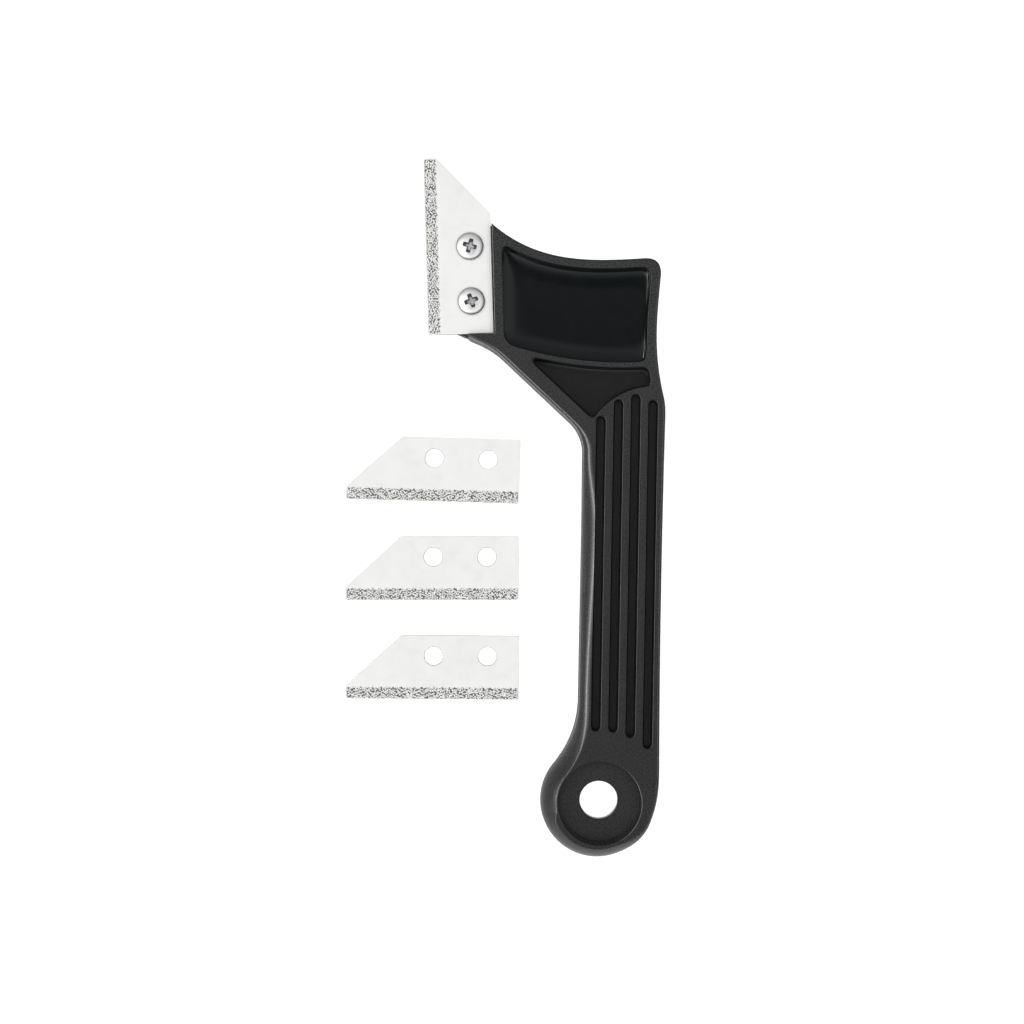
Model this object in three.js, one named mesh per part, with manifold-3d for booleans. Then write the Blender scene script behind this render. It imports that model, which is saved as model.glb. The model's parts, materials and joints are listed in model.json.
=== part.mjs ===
// Grout remover: a moulded plastic handle, a carbide-grit blade held in its seat by two screws
// and nuts, and three spare blades laid out beside it. The tool lies on its back.
// Millimetres, +Z up, +Y from the hang hole towards the blade.
import * as THREE from 'three';
import { mergeVertices } from 'three/addons/utils/BufferGeometryUtils.js';
import Module from 'manifold-3d';

const wasm = await Module();
wasm.setup();

// Handle plan, measured from the centre of the hang hole: the front is the blade's side,
// the spine is the side that lies in the palm. Angles are in degrees.
const HANDLE_THICKNESS = 18;
const KNOB_RADIUS = 16;
const KNOB_FORWARD = 0.6;
const KNOB_FROM = 142;
const KNOB_TO = 340;
const SPINE_FOOT = 9;
const GRIP_FRONT = 6.25;
const GRIP_SPINE = 16.65;
const GRIP_LENGTH = 109;
const SPINE_HOLLOW = 0.35;
const NECK_HEIGHT = 29;
const SHOULDER_RISE = 5.8;
const SHOULDER_SETBACK = 0.65;
const SHOULDER_SLOPE = 104;
const HEAD_SPINE = 15.1;
const HEAD_HEIGHT = 44.7;
const HEAD_CORNER = 5;
const HEAD_SIDE_SLOPE = 86;
const HEAD_TOP_SLOPE = 185;
const HORN_SLOPE = 140;
const ELBOW_DROP = 5.3;
const ELBOW_RADIUS = 11.5;
const DIAGONAL_LENGTH = 35.5;
const DIAGONAL_SLOPE = 42.3;
const TAIL_SLOPE = 22.2;
const TAIL_RADIUS = 24;

// Edges of the handle: each side rounds in as far as its crest, where the surface is tilted by
// the crest's angle, and the crest then eases into the face over a run of its own.
const CREST_TILT = 32;
const KNOB_SIDE = 4;
const KNOB_CREST = 0.5;
const KNOB_FULL_TO = 195;
const HEEL_SIDE = 1.15;
const HEEL_CREST = 0.3;
const SPINE_SIDE = 0.55;
const SPINE_CREST = 0.25;
const HEAD_SIDE = 0.5;
const HEAD_CREST = 0.2;
const DIAGONAL_SIDE = 1.15;
const DIAGONAL_CREST = 0.5;
const ELBOW_SIDE = 1.7;
const ELBOW_CREST = 1.1;
const GRIP_SIDE = 3.4;
const GRIP_CREST = 1.5;
const GRIP_FULLEST = 78;
const NECK_SIDE = 2.3;
const NECK_CREST = 1.6;

// Hang hole: a counterbore in each face leaves a thin web round the hole.
const HANG_HOLE_RADIUS = 5.4;
const KNOB_RIM = 4.3;
const KNOB_WEB = 3.2;
const KNOB_FOOT = 0.4;

// Grip grooves, in both faces: their feet follow the counterbore, their heads a crown.
const GROOVE_COUNT = 4;
const GROOVE_PITCH = 4.85;
const GROOVE_WIDTH = 2.5;
const GROOVE_DEPTH = 2.6;
const GROOVE_SETBACK = 4.75;
const GROOVE_FOOT = 0.3;
const GROOVE_LAND = 8.75;
const CROWN_RISE = 5.75;
const CROWN_RADIUS = 7.5;

// Head pocket and corner pocket, cored out of both faces, with a rib between them.
const HEAD_RIM = 2.85;
const HEAD_WEB = 6;
const HEAD_COVE = 6;
const HEAD_SPINE_COVE = 1.3;
const HEAD_POCKET_CORNER = 3.2;
const RIB_WIDTH = 1.9;
const RIB_SAG = 2.3;
const RIB_FRONT_DROP = 3.7;
const RIB_FRONT_SETBACK = 3;
const RIB_SPINE_RISE = 14.8;
const CORNER_WEB = 9;
const CORNER_COVE = 1.2;
const CORNER_POCKET_CORNER = 1.9;
const CORNER_POCKET_TIP = 5;
const DIAGONAL_RIM = 4.7;
const CREST_FRONT = 3.15;
const CREST_SPINE = 6.6;
const CREST_DROP = 0.35;
const CREST_RISE = 8.15;
const CREST_HOLLOW = 1.6;
const COVE_TILT = 50;
const CORNER_KEPT = 0.4;
const WALL_DRAFT = 0.3;
const RIM_EASE = 0.25;

// Blade seat: a tongue behind the blade, with a step along its back edge and a ledge under its end.
const BLADE_TILT = 2.6;
const SEAT_RISE = 3.9;
const SEAT_SETBACK = 0.7;
const SEAT_HEIGHT = 30.9;
const SEAT_ABOVE_MIDDLE = 2;
const SEAT_CLEARANCE = 0.3;
const LEDGE_LENGTH = 7.3;
const TONGUE_THICKNESS = 6;
const TONGUE_MARGIN = 6;
const TONGUE_CORNER = 3;
const TONGUE_TOE = 1.5;

// Blade: a steel plate with a slanted end, and a coat of carbide grit round its cutting edge.
const BLADE_LENGTH = 50;
const BLADE_WIDTH = 18.6;
const BLADE_THICKNESS = 1.2;
const BLADE_BACK_LENGTH = 34;
const BLADE_NOSE = 3.8;
const BLADE_HOLE_RADIUS = 2.65;
const HOLE_SPACING = 15.5;
const HOLE_FROM_END = 9.2;
const HOLE_FROM_BACK = 6;
const GRIT_WIDTH = 3.9;
const GRIT_COAT = 0.45;
const GRIT_ROUGHNESS = 0.16;
const GRIT_RAGGED = 0.4;
const GRIT_GRAIN = 2;
const BRAZE_LINE = 0.05;

// Screws and nuts.
const SCREW_RADIUS = 1.95;
const SCREW_LENGTH = 8;
const SCREW_HEAD_RADIUS = 3.85;
const SCREW_HEAD_HEIGHT = 2.5;
const SCREW_HEAD_DOME = 1.2;
const SCREW_POINT = 0.4;
const SCREW_TURNS = [-18, 18];
const RECESS_SPAN = 4.4;
const RECESS_SLOT = 1.1;
const RECESS_DEPTH = 1.5;
const RECESS_TAPER = 0.6;
const SCREW_HOLE_PLAY = 0.25;
const NUT_FLATS = 7;
const NUT_THICKNESS = 3.2;
const NUT_BORE_PLAY = 0.15;
const NUT_POCKET_PLAY = 0.15;
const FACE_GAP = 0.1;

// Layout: the tool leans a little, and the spares lie in a column on its front side.
const TOOL_LEAN = 1;
const SPARE_END = 22.6;
const SPARE_HEIGHTS = [84, 56.2, 27.4];
const SPARE_TURNS = [-1.6, 0, -0.5];

const MIDDLE = HANDLE_THICKNESS / 2;
const SEAT_LEVEL = MIDDLE + SEAT_ABOVE_MIDDLE;
const ROUND_STEPS = 4;
const CREST_STEPS = 2;
const FOOT_TILT = 90;
const FOOT_STEPS = 2;
const CIRCLE_STEPS = 36;
const FASTENER_STEPS = 24;
const SIDE_STEPS = 8;
const CORNER_STEPS = 4;
const OVERCUT = 1;
const SWEEP_REACH = 0.38;
const CROSSING_PASSES = 12;
const NUDGE = 0.001;
const SAME_POINT = 0.01;
const WELD = 1e-4;

const radians = THREE.MathUtils.degToRad;
const point = (x, y) => new THREE.Vector2(x, y);
const toward = (degrees) => point(Math.cos(radians(degrees)), Math.sin(radians(degrees)));
const leftOf = (direction) => point(-direction.y, direction.x).normalize();
const ahead = (start, direction, distance) => start.clone().addScaledVector(direction, distance);

// Solids in and out of the boolean library.

function solidOf(geometry) {
  geometry.deleteAttribute('normal');
  geometry.deleteAttribute('uv');
  const welded = mergeVertices(geometry, WELD);
  const vertProperties = new Float32Array(welded.attributes.position.array);
  const triVerts = new Uint32Array(welded.index.array);
  return new wasm.Manifold(new wasm.Mesh({ numProp: 3, vertProperties, triVerts }));
}

function geometryOf(solid) {
  const { vertProperties, triVerts } = solid.getMesh();
  const geometry = new THREE.BufferGeometry();
  geometry.setAttribute('position', new THREE.BufferAttribute(vertProperties, 3));
  geometry.setIndex(new THREE.BufferAttribute(triVerts, 1));
  geometry.computeVertexNormals();
  return geometry;
}

// Rings of equal length, counter-clockwise from above and rising, skinned into a closed body.
function loft(rings) {
  const count = rings[0].length;
  const last = (rings.length - 1) * count;
  const positions = rings.flat().flatMap((corner) => [corner.x, corner.y, corner.z]);
  const faces = [];
  for (let ring = 0; ring < rings.length - 1; ring++) {
    for (let i = 0; i < count; i++) {
      const low = ring * count + i;
      const lowNext = ring * count + ((i + 1) % count);
      faces.push(low, lowNext, lowNext + count, low, lowNext + count, low + count);
    }
  }
  for (const [a, b, c] of THREE.ShapeUtils.triangulateShape(rings[0], [])) {
    faces.push(c, b, a);
  }
  for (const [a, b, c] of THREE.ShapeUtils.triangulateShape(rings.at(-1), [])) {
    faces.push(last + a, last + b, last + c);
  }
  const geometry = new THREE.BufferGeometry();
  geometry.setAttribute('position', new THREE.Float32BufferAttribute(positions, 3));
  geometry.setIndex(faces);
  return geometry;
}

const atHeight = (outline, z) => outline.map(({ x, y }) => new THREE.Vector3(x, y, z));
const prism = (outline, low, high) => loft([atHeight(outline, low), atHeight(outline, high)]);

function circle(centre, radius, steps) {
  return Array.from({ length: steps }, (_, i) => ahead(centre, toward((360 * i) / steps), radius));
}

function hexagon(centre, flats) {
  const corner = flats / 2 / Math.cos(Math.PI / 6);
  return Array.from({ length: 6 }, (_, i) => ahead(centre, toward(60 * i), corner));
}

// Curves for the plan.

// An arc from start to end that swells to the right of the way; a negative swell is hollow.
function bow(start, end, swell) {
  const chord = end.clone().sub(start);
  const height = Math.abs(swell);
  const radius = (chord.lengthSq() / 4 + height * height) / (2 * height);
  const side = Math.sign(swell);
  const middle = start.clone().lerp(end, 0.5);
  const centre = ahead(middle, leftOf(chord), side * (radius - height));
  const from = start.clone().sub(centre).angle();
  const to = end.clone().sub(centre).angle();
  return new THREE.ArcCurve(centre.x, centre.y, radius, from, to, side < 0);
}

// The arc that rounds a corner of a path, from one straight to the next.
function rounded(before, corner, after, radius) {
  const arriving = corner.clone().sub(before).normalize();
  const leaving = after.clone().sub(corner).normalize();
  const turn = Math.atan2(arriving.cross(leaving), arriving.dot(leaving));
  const side = Math.sign(turn);
  const tangent = radius * Math.tan(Math.abs(turn) / 2);
  const start = ahead(corner, arriving, -tangent);
  const centre = ahead(start, leftOf(arriving), side * radius);
  const from = start.clone().sub(centre).angle();
  return new THREE.ArcCurve(centre.x, centre.y, radius, from, from + turn, side < 0);
}

// A smooth run from one point and heading to another.
function sweep(start, startSlope, end, endSlope) {
  const reach = SWEEP_REACH * start.distanceTo(end);
  const leave = ahead(start, toward(startSlope), reach);
  const arrive = ahead(end, toward(endSlope), -reach);
  return new THREE.CubicBezierCurve(start, leave, arrive, end);
}

// Where two straight lines meet, each given by a point and a direction.
function meeting(start, direction, other, otherDirection) {
  const gap = other.clone().sub(start);
  return ahead(start, direction, gap.cross(otherDirection) / direction.cross(otherDirection));
}

// A curve moved sideways, to the left of its way.
class ShiftedCurve extends THREE.Curve {
  constructor(base, shift) {
    super();
    this.base = base;
    this.shift = shift;
  }

  direction(t) {
    const before = this.base.getPoint(t - NUDGE);
    return this.base.getPoint(t + NUDGE).sub(before).divideScalar(2 * NUDGE);
  }

  getPoint(t) {
    return ahead(this.base.getPoint(t), leftOf(this.direction(t)), this.shift);
  }
}

// The places on two curves where the end of one runs into the start of the next.
function crossing(first, second) {
  let here = 1;
  let next = 0;
  for (let pass = 0; pass < CROSSING_PASSES; pass++) {
    const along = first.direction(here);
    const across = second.direction(next);
    const gap = second.getPoint(next).sub(first.getPoint(here));
    const spread = along.cross(across);
    here += gap.cross(across) / spread;
    next += gap.cross(along) / spread;
  }
  return { here, next };
}

// A closed outline inside a ring of sides. Each side has its own inset, and a corner to the next
// side that is eased over a given run; a further inset takes some of the ease out of the corners.
// Past the draft of the wall, a side may take only a share of the further inset: a steeper foot.
function enclosed(sides, inset) {
  const wall = Math.min(inset, WALL_DRAFT);
  const shifted = sides.map(({ curve, inset: own, footShare = 1 }) => {
    return new ShiftedCurve(curve, own + wall + (inset - wall) * footShare);
  });
  const following = shifted.map((side, i) => shifted[(i + 1) % shifted.length]);
  const corners = shifted.map((side, i) => {
    const { here, next } = crossing(side, following[i]);
    const opening = Math.PI - side.direction(here).angleTo(following[i].direction(next));
    const { corner } = sides[i];
    const run = Math.max(corner - inset / Math.tan(opening / 2), CORNER_KEPT * corner);
    return {
      start: here - run / side.getLength(),
      tip: side.getPoint(here),
      end: next + run / following[i].getLength(),
    };
  });
  return shifted.flatMap((side, i) => {
    const { start, tip, end } = corners[i];
    const from = corners.at(i - 1).end;
    const turn = new THREE.QuadraticBezierCurve(side.getPoint(start), tip, following[i].getPoint(end));
    const along = (step) => side.getPoint(THREE.MathUtils.lerp(from, start, step / SIDE_STEPS));
    return [
      ...Array.from({ length: SIDE_STEPS }, (_, step) => along(step)),
      ...turn.getPoints(CORNER_STEPS).slice(0, -1),
    ];
  });
}

// A cutter for a hollow sunk into one face: eased rim, drafted wall, foot, flat floor. The foot is
// an arc that starts at a given tilt. outlineAt gives the hollow's outline at a given inset.
function hollowCutter(outlineAt, depth, foot, footTilt, footSteps, fromUpperFace) {
  const levels = [
    [-OVERCUT, -RIM_EASE],
    [0, -RIM_EASE],
    [RIM_EASE, 0],
  ];
  for (let step = 0; step <= footSteps; step++) {
    const tilt = radians(footTilt) * (1 - step / footSteps);
    const run = foot * (Math.sin(radians(footTilt)) - Math.sin(tilt));
    levels.push([depth - foot * (1 - Math.cos(tilt)), WALL_DRAFT + run]);
  }
  const rings = levels.map(([sunk, inset]) => {
    return atHeight(outlineAt(inset), fromUpperFace ? HANDLE_THICKNESS - sunk : sunk);
  });
  return solidOf(loft(fromUpperFace ? rings.reverse() : rings));
}

// The handle's plan.

const shoulder = point(GRIP_SPINE, GRIP_LENGTH);
const waistFoot = point(GRIP_SPINE - SHOULDER_SETBACK, GRIP_LENGTH + SHOULDER_RISE);
const headCorner = point(HEAD_SPINE, GRIP_LENGTH + HEAD_HEIGHT);
const elbow = point(-GRIP_FRONT, GRIP_LENGTH - ELBOW_DROP);
const diagonalWay = toward(-DIAGONAL_SLOPE);
const tailBend = ahead(elbow, diagonalWay, -DIAGONAL_LENGTH);
const tailWay = toward(-TAIL_SLOPE);
const seatCorner = point(tailBend.x + SEAT_SETBACK, tailBend.y + SEAT_RISE);

// A point of the blade seat's own frame: origin in the seat's corner, y up the step.
const onSeat = (x, y) => point(x, y).rotateAround(point(0, 0), radians(BLADE_TILT)).add(seatCorner);

const holeAcross = -SEAT_CLEARANCE - HOLE_FROM_BACK;
const holeHeights = [SEAT_CLEARANCE + HOLE_FROM_END + HOLE_SPACING, SEAT_CLEARANCE + HOLE_FROM_END];
const tongueFront = holeAcross - TONGUE_MARGIN;
const horn = onSeat(0, SEAT_HEIGHT);
const tongueTop = onSeat(tongueFront, SEAT_HEIGHT);
const stepWay = toward(90 + BLADE_TILT);
const tongueToe = meeting(tongueTop, stepWay, tailBend, tailWay);

const waist = sweep(waistFoot, SHOULDER_SLOPE, headCorner, HEAD_SIDE_SLOPE);
const headTop = sweep(headCorner, HEAD_TOP_SLOPE, horn, HORN_SLOPE);
const step = new THREE.LineCurve(horn, seatCorner);
const diagonal = new THREE.LineCurve(tailBend, elbow);

function handleBody() {
  const knobStart = ahead(point(-KNOB_FORWARD, 0), toward(KNOB_FROM), KNOB_RADIUS);
  const knobEnd = ahead(point(-KNOB_FORWARD, 0), toward(KNOB_TO), KNOB_RADIUS);
  const spineFoot = point(GRIP_SPINE, SPINE_FOOT);
  const neck = point(-GRIP_FRONT, NECK_HEIGHT);
  const cornerStart = 1 - HEAD_CORNER / waist.getLength();
  const cornerEnd = HEAD_CORNER / headTop.getLength();
  const headTurn = new THREE.QuadraticBezierCurve(
    waist.getPoint(cornerStart),
    headCorner,
    headTop.getPoint(cornerEnd),
  );
  const knobArc = (from, to) => {
    return new THREE.ArcCurve(-KNOB_FORWARD, 0, KNOB_RADIUS, radians(from), radians(to));
  };
  const elbowTurn = rounded(tailBend, elbow, neck, ELBOW_RADIUS);
  const gripFullest = point(-GRIP_FRONT, GRIP_FULLEST);
  const gripTop = new THREE.LineCurve(elbowTurn.getPoint(1), gripFullest);
  const knobEdge = { side: KNOB_SIDE, crest: KNOB_CREST };
  const heelEdge = { side: HEEL_SIDE, crest: HEEL_CREST };
  const spineEdge = { side: SPINE_SIDE, crest: SPINE_CREST };
  const headEdge = { side: HEAD_SIDE, crest: HEAD_CREST };
  const diagonalEdge = { side: DIAGONAL_SIDE, crest: DIAGONAL_CREST };
  const elbowEdge = { side: ELBOW_SIDE, crest: ELBOW_CREST };
  const gripEdge = { side: GRIP_SIDE, crest: GRIP_CREST };
  const neckEdge = { side: NECK_SIDE, crest: NECK_CREST };
  // Counter-clockwise: knob, spine, shoulder, waist, head, tongue, tail, diagonal, grip, neck.
  const stretches = [
    { curve: knobArc(KNOB_FROM, KNOB_FULL_TO), steps: 8, edge: [neckEdge, knobEdge] },
    { curve: knobArc(KNOB_FULL_TO, KNOB_TO), steps: 17, edge: [knobEdge, heelEdge] },
    { curve: sweep(knobEnd, KNOB_TO + 90, spineFoot, 90), steps: 5, edge: [heelEdge, spineEdge] },
    { curve: bow(spineFoot, shoulder, -SPINE_HOLLOW), steps: 5, edge: [spineEdge, spineEdge] },
    { curve: sweep(shoulder, 90, waistFoot, SHOULDER_SLOPE), steps: 4, edge: [spineEdge, headEdge] },
    { curve: waist, end: cornerStart, steps: 7, edge: [headEdge, headEdge] },
    { curve: headTurn, steps: 6, edge: [headEdge, headEdge] },
    { curve: headTop, start: cornerEnd, steps: 12, edge: [headEdge, headEdge] },
    { curve: rounded(horn, tongueTop, tongueToe, TONGUE_CORNER), steps: 4, edge: [headEdge, headEdge] },
    { curve: rounded(tongueTop, tongueToe, tailBend, TONGUE_TOE), steps: 4, edge: [headEdge, headEdge] },
    { curve: rounded(tongueToe, tailBend, elbow, TAIL_RADIUS), steps: 5, edge: [headEdge, diagonalEdge] },
    { curve: elbowTurn, steps: 7, edge: [diagonalEdge, elbowEdge] },
    { curve: gripTop, steps: 4, edge: [elbowEdge, gripEdge] },
    { curve: new THREE.LineCurve(gripFullest, neck), steps: 4, edge: [gripEdge, neckEdge] },
    { curve: sweep(neck, -90, knobStart, KNOB_FROM + 90), steps: 8, edge: [neckEdge, neckEdge] },
  ];
  const outline = [];
  for (const { curve, steps, edge, start = 0, end = 1 } of stretches) {
    for (let i = 0; i <= steps; i++) {
      const corner = curve.getPoint(THREE.MathUtils.lerp(start, end, i / steps));
      const blend = THREE.MathUtils.smoothstep(i / steps, 0, 1);
      corner.side = THREE.MathUtils.lerp(edge[0].side, edge[1].side, blend);
      corner.crest = THREE.MathUtils.lerp(edge[0].crest, edge[1].crest, blend);
      if (outline.length === 0 || corner.distanceTo(outline.at(-1)) > SAME_POINT) {
        outline.push(corner);
      }
    }
  }
  if (outline[0].distanceTo(outline.at(-1)) < SAME_POINT) {
    outline.pop();
  }
  const inward = outline.map((corner, i) => {
    const before = leftOf(corner.clone().sub(outline.at(i - 1)));
    const after = leftOf(outline[(i + 1) % outline.length].clone().sub(corner));
    const facing = 1 + before.dot(after);
    return before.add(after).divideScalar(facing);
  });
  const crestTilt = radians(CREST_TILT);
  // How far in from the side, and how far below the face, an edge has the given tilt.
  const edgeAt = ({ side, crest }, tilt) => {
    const sideRadius = side / (1 - Math.sin(crestTilt));
    const crestRadius = crest / Math.sin(crestTilt);
    if (tilt < crestTilt) {
      const reach = side + crest - crestRadius * Math.sin(tilt);
      return { reach, drop: crestRadius * (1 - Math.cos(tilt)) };
    }
    const crestDrop = crestRadius * (1 - Math.cos(crestTilt));
    const drop = crestDrop + sideRadius * (Math.cos(crestTilt) - Math.cos(tilt));
    return { reach: sideRadius * (1 - Math.sin(tilt)), drop };
  };
  const ringAt = (tilt, upper) => outline.map((corner, i) => {
    const { reach, drop } = edgeAt(corner, tilt);
    const { x, y } = ahead(corner, inward[i], reach);
    return new THREE.Vector3(x, y, upper ? HANDLE_THICKNESS - drop : drop);
  });
  const tilts = [];
  for (let i = 0; i <= ROUND_STEPS; i++) {
    tilts.push(THREE.MathUtils.lerp(Math.PI / 2, crestTilt, i / ROUND_STEPS));
  }
  for (let i = 1; i <= CREST_STEPS; i++) {
    tilts.push(THREE.MathUtils.lerp(crestTilt, 0, i / CREST_STEPS));
  }
  const lower = tilts.map((tilt) => ringAt(tilt, false)).reverse();
  const upper = tilts.map((tilt) => ringAt(tilt, true));
  return solidOf(loft([...lower, ...upper]));
}

// Pockets of the head: the large one under the top, the small one over the elbow.

const ribFront = point(seatCorner.x + RIB_FRONT_SETBACK, seatCorner.y - RIB_FRONT_DROP);
const ribSpine = point(HEAD_SPINE, GRIP_LENGTH + RIB_SPINE_RISE);
const crestFoot = point(-GRIP_FRONT + CREST_FRONT, GRIP_LENGTH - CREST_DROP);
const crestEnd = point(GRIP_SPINE - CREST_SPINE, GRIP_LENGTH + CREST_RISE);

const spineShare = HEAD_SPINE_COVE / HEAD_COVE;
const headPocketSides = [
  { curve: bow(ribFront, ribSpine, RIB_SAG), inset: RIB_WIDTH / 2, corner: HEAD_POCKET_CORNER },
  { curve: waist, inset: HEAD_RIM, corner: HEAD_POCKET_CORNER, footShare: spineShare },
  { curve: headTop, inset: HEAD_RIM, corner: HEAD_POCKET_CORNER },
  { curve: step, inset: HEAD_RIM, corner: HEAD_POCKET_CORNER },
];
const cornerPocketSides = [
  { curve: diagonal, inset: DIAGONAL_RIM, corner: CORNER_POCKET_CORNER },
  { curve: bow(crestFoot, crestEnd, -CREST_HOLLOW), inset: 0, corner: CORNER_POCKET_CORNER },
  { curve: waist, inset: HEAD_RIM, corner: CORNER_POCKET_CORNER },
  { curve: bow(ribSpine, ribFront, -RIB_SAG), inset: RIB_WIDTH / 2, corner: CORNER_POCKET_TIP },
];

function pockets(upper) {
  const head = (inset) => enclosed(headPocketSides, inset);
  const corner = (inset) => enclosed(cornerPocketSides, inset);
  return [
    hollowCutter(head, (HANDLE_THICKNESS - HEAD_WEB) / 2, HEAD_COVE, COVE_TILT, ROUND_STEPS, upper),
    hollowCutter(corner, (HANDLE_THICKNESS - CORNER_WEB) / 2, CORNER_COVE, COVE_TILT, FOOT_STEPS, upper),
  ];
}

// Grooves and counterbore.

const counterboreRadius = KNOB_RADIUS - KNOB_RIM;

function counterbore(upper) {
  const outlineAt = (inset) => circle(point(0, 0), counterboreRadius - inset, CIRCLE_STEPS);
  const depth = (HANDLE_THICKNESS - KNOB_WEB) / 2;
  return hollowCutter(outlineAt, depth, KNOB_FOOT, FOOT_TILT, FOOT_STEPS, upper);
}

// A slot with round ends, standing upright between two heights.
function slotOutline(across, low, high, radius) {
  const foot = new THREE.ArcCurve(across, low, radius, Math.PI, 2 * Math.PI);
  const head = new THREE.ArcCurve(across, high, radius, 0, Math.PI);
  return [...foot.getPoints(2 * CORNER_STEPS), ...head.getPoints(2 * CORNER_STEPS)];
}

function grooves(upper) {
  const radius = GROOVE_WIDTH / 2;
  const footArc = counterboreRadius + GROOVE_LAND;
  const crownAcross = -GRIP_FRONT + GROOVE_SETBACK + GROOVE_PITCH * (GROOVE_COUNT / 2);
  return Array.from({ length: GROOVE_COUNT }, (_, i) => {
    const across = -GRIP_FRONT + GROOVE_SETBACK + GROOVE_PITCH * i;
    const low = Math.sqrt(footArc ** 2 - across ** 2) + radius;
    const fall = (across - crownAcross) ** 2 / (2 * CROWN_RADIUS);
    const high = GRIP_LENGTH + CROWN_RISE - fall - radius;
    const outlineAt = (inset) => slotOutline(across, low, high, radius - inset);
    return hollowCutter(outlineAt, GROOVE_DEPTH, GROOVE_FOOT, FOOT_TILT, FOOT_STEPS, upper);
  });
}

// Blade seat: the space over the tongue's front and behind its back, the screw holes
// through it and a hex pocket for each nut.

function seatCuts() {
  const beyond = BLADE_LENGTH;
  const space = [
    onSeat(0, 0),
    onSeat(0, beyond),
    onSeat(-beyond, beyond),
    onSeat(-beyond, -beyond),
    onSeat(-LEDGE_LENGTH, -beyond),
    onSeat(-LEDGE_LENGTH, 0),
  ];
  const tongueBack = SEAT_LEVEL - TONGUE_THICKNESS;
  const cuts = [
    solidOf(prism(space, SEAT_LEVEL, HANDLE_THICKNESS + OVERCUT)),
    solidOf(prism(space, -OVERCUT, tongueBack)),
  ];
  for (const height of holeHeights) {
    const hole = circle(onSeat(holeAcross, height), SCREW_RADIUS + SCREW_HOLE_PLAY, FASTENER_STEPS);
    const pocket = hexagon(point(0, 0), NUT_FLATS + 2 * NUT_POCKET_PLAY);
    const placed = pocket.map(({ x, y }) => onSeat(holeAcross + x, height + y));
    cuts.push(solidOf(prism(hole, tongueBack - OVERCUT, SEAT_LEVEL + OVERCUT)));
    cuts.push(solidOf(prism(placed, tongueBack - OVERCUT, tongueBack + NUT_THICKNESS + FACE_GAP)));
  }
  return cuts;
}

function handleGeometry() {
  const hangHole = circle(point(0, 0), HANG_HOLE_RADIUS, CIRCLE_STEPS);
  const cuts = [solidOf(prism(hangHole, -OVERCUT, HANDLE_THICKNESS + OVERCUT)), ...seatCuts()];
  for (const upper of [true, false]) {
    cuts.push(counterbore(upper), ...pockets(upper), ...grooves(upper));
  }
  return geometryOf(cuts.reduce((body, cut) => body.subtract(cut), handleBody()));
}

// Blade, in its own frame: cutting edge on x = 0, square end on y = 0, plate resting on z = 0.

function plateGeometry() {
  const edge = GRIT_COAT;
  const outline = new THREE.Shape([
    point(edge, 0),
    point(BLADE_WIDTH, 0),
    point(BLADE_WIDTH, BLADE_BACK_LENGTH),
    point(BLADE_NOSE, BLADE_LENGTH),
    point(edge, BLADE_LENGTH),
  ]);
  for (const height of [HOLE_FROM_END, HOLE_FROM_END + HOLE_SPACING]) {
    const hole = new THREE.Path();
    hole.absarc(BLADE_WIDTH - HOLE_FROM_BACK, height, BLADE_HOLE_RADIUS, 0, 2 * Math.PI);
    outline.holes.push(hole);
  }
  return new THREE.ExtrudeGeometry(outline, {
    depth: BLADE_THICKNESS,
    bevelEnabled: false,
    curveSegments: FASTENER_STEPS / 2,
  });
}

// A repeatable scatter between 0 and 1 for the grain at step i, place j.
function scatter(i, j) {
  const wave = Math.sin(12.9898 * i + 78.233 * j) * 43758.5453;
  return wave - Math.floor(wave);
}

// The coat is a rough bar, slotted for the plate's edge.
function gritGeometry() {
  const half = BLADE_THICKNESS / 2 + GRIT_COAT;
  const section = [
    point(GRIT_COAT, -half),
    point(GRIT_WIDTH / 2, -half),
    point(GRIT_WIDTH, -half),
    point(GRIT_WIDTH, half),
    point(GRIT_WIDTH / 2, half),
    point(GRIT_COAT, half),
    point(0, half - GRIT_COAT),
    point(0, GRIT_COAT - half),
  ];
  const steps = Math.round(BLADE_LENGTH / GRIT_GRAIN);
  const rings = Array.from({ length: steps + 1 }, (_, i) => section.map(({ x, y }, j) => {
    const sunk = GRIT_ROUGHNESS * scatter(i, j);
    const ragged = (x / GRIT_WIDTH) * GRIT_RAGGED * scatter(i, j + section.length);
    const height = y - Math.sign(y) * sunk;
    return new THREE.Vector3(Math.max(x - ragged, sunk), height, (BLADE_LENGTH * i) / steps);
  }));
  const bar = loft(rings).rotateX(-Math.PI / 2).translate(0, 0, BLADE_THICKNESS / 2);
  const slot = [
    point(GRIT_COAT - BRAZE_LINE, -OVERCUT),
    point(BLADE_WIDTH, -OVERCUT),
    point(BLADE_WIDTH, BLADE_LENGTH + OVERCUT),
    point(GRIT_COAT - BRAZE_LINE, BLADE_LENGTH + OVERCUT),
  ];
  const space = prism(slot, -BRAZE_LINE, BLADE_THICKNESS + BRAZE_LINE);
  return geometryOf(solidOf(bar).subtract(solidOf(space)));
}

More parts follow.
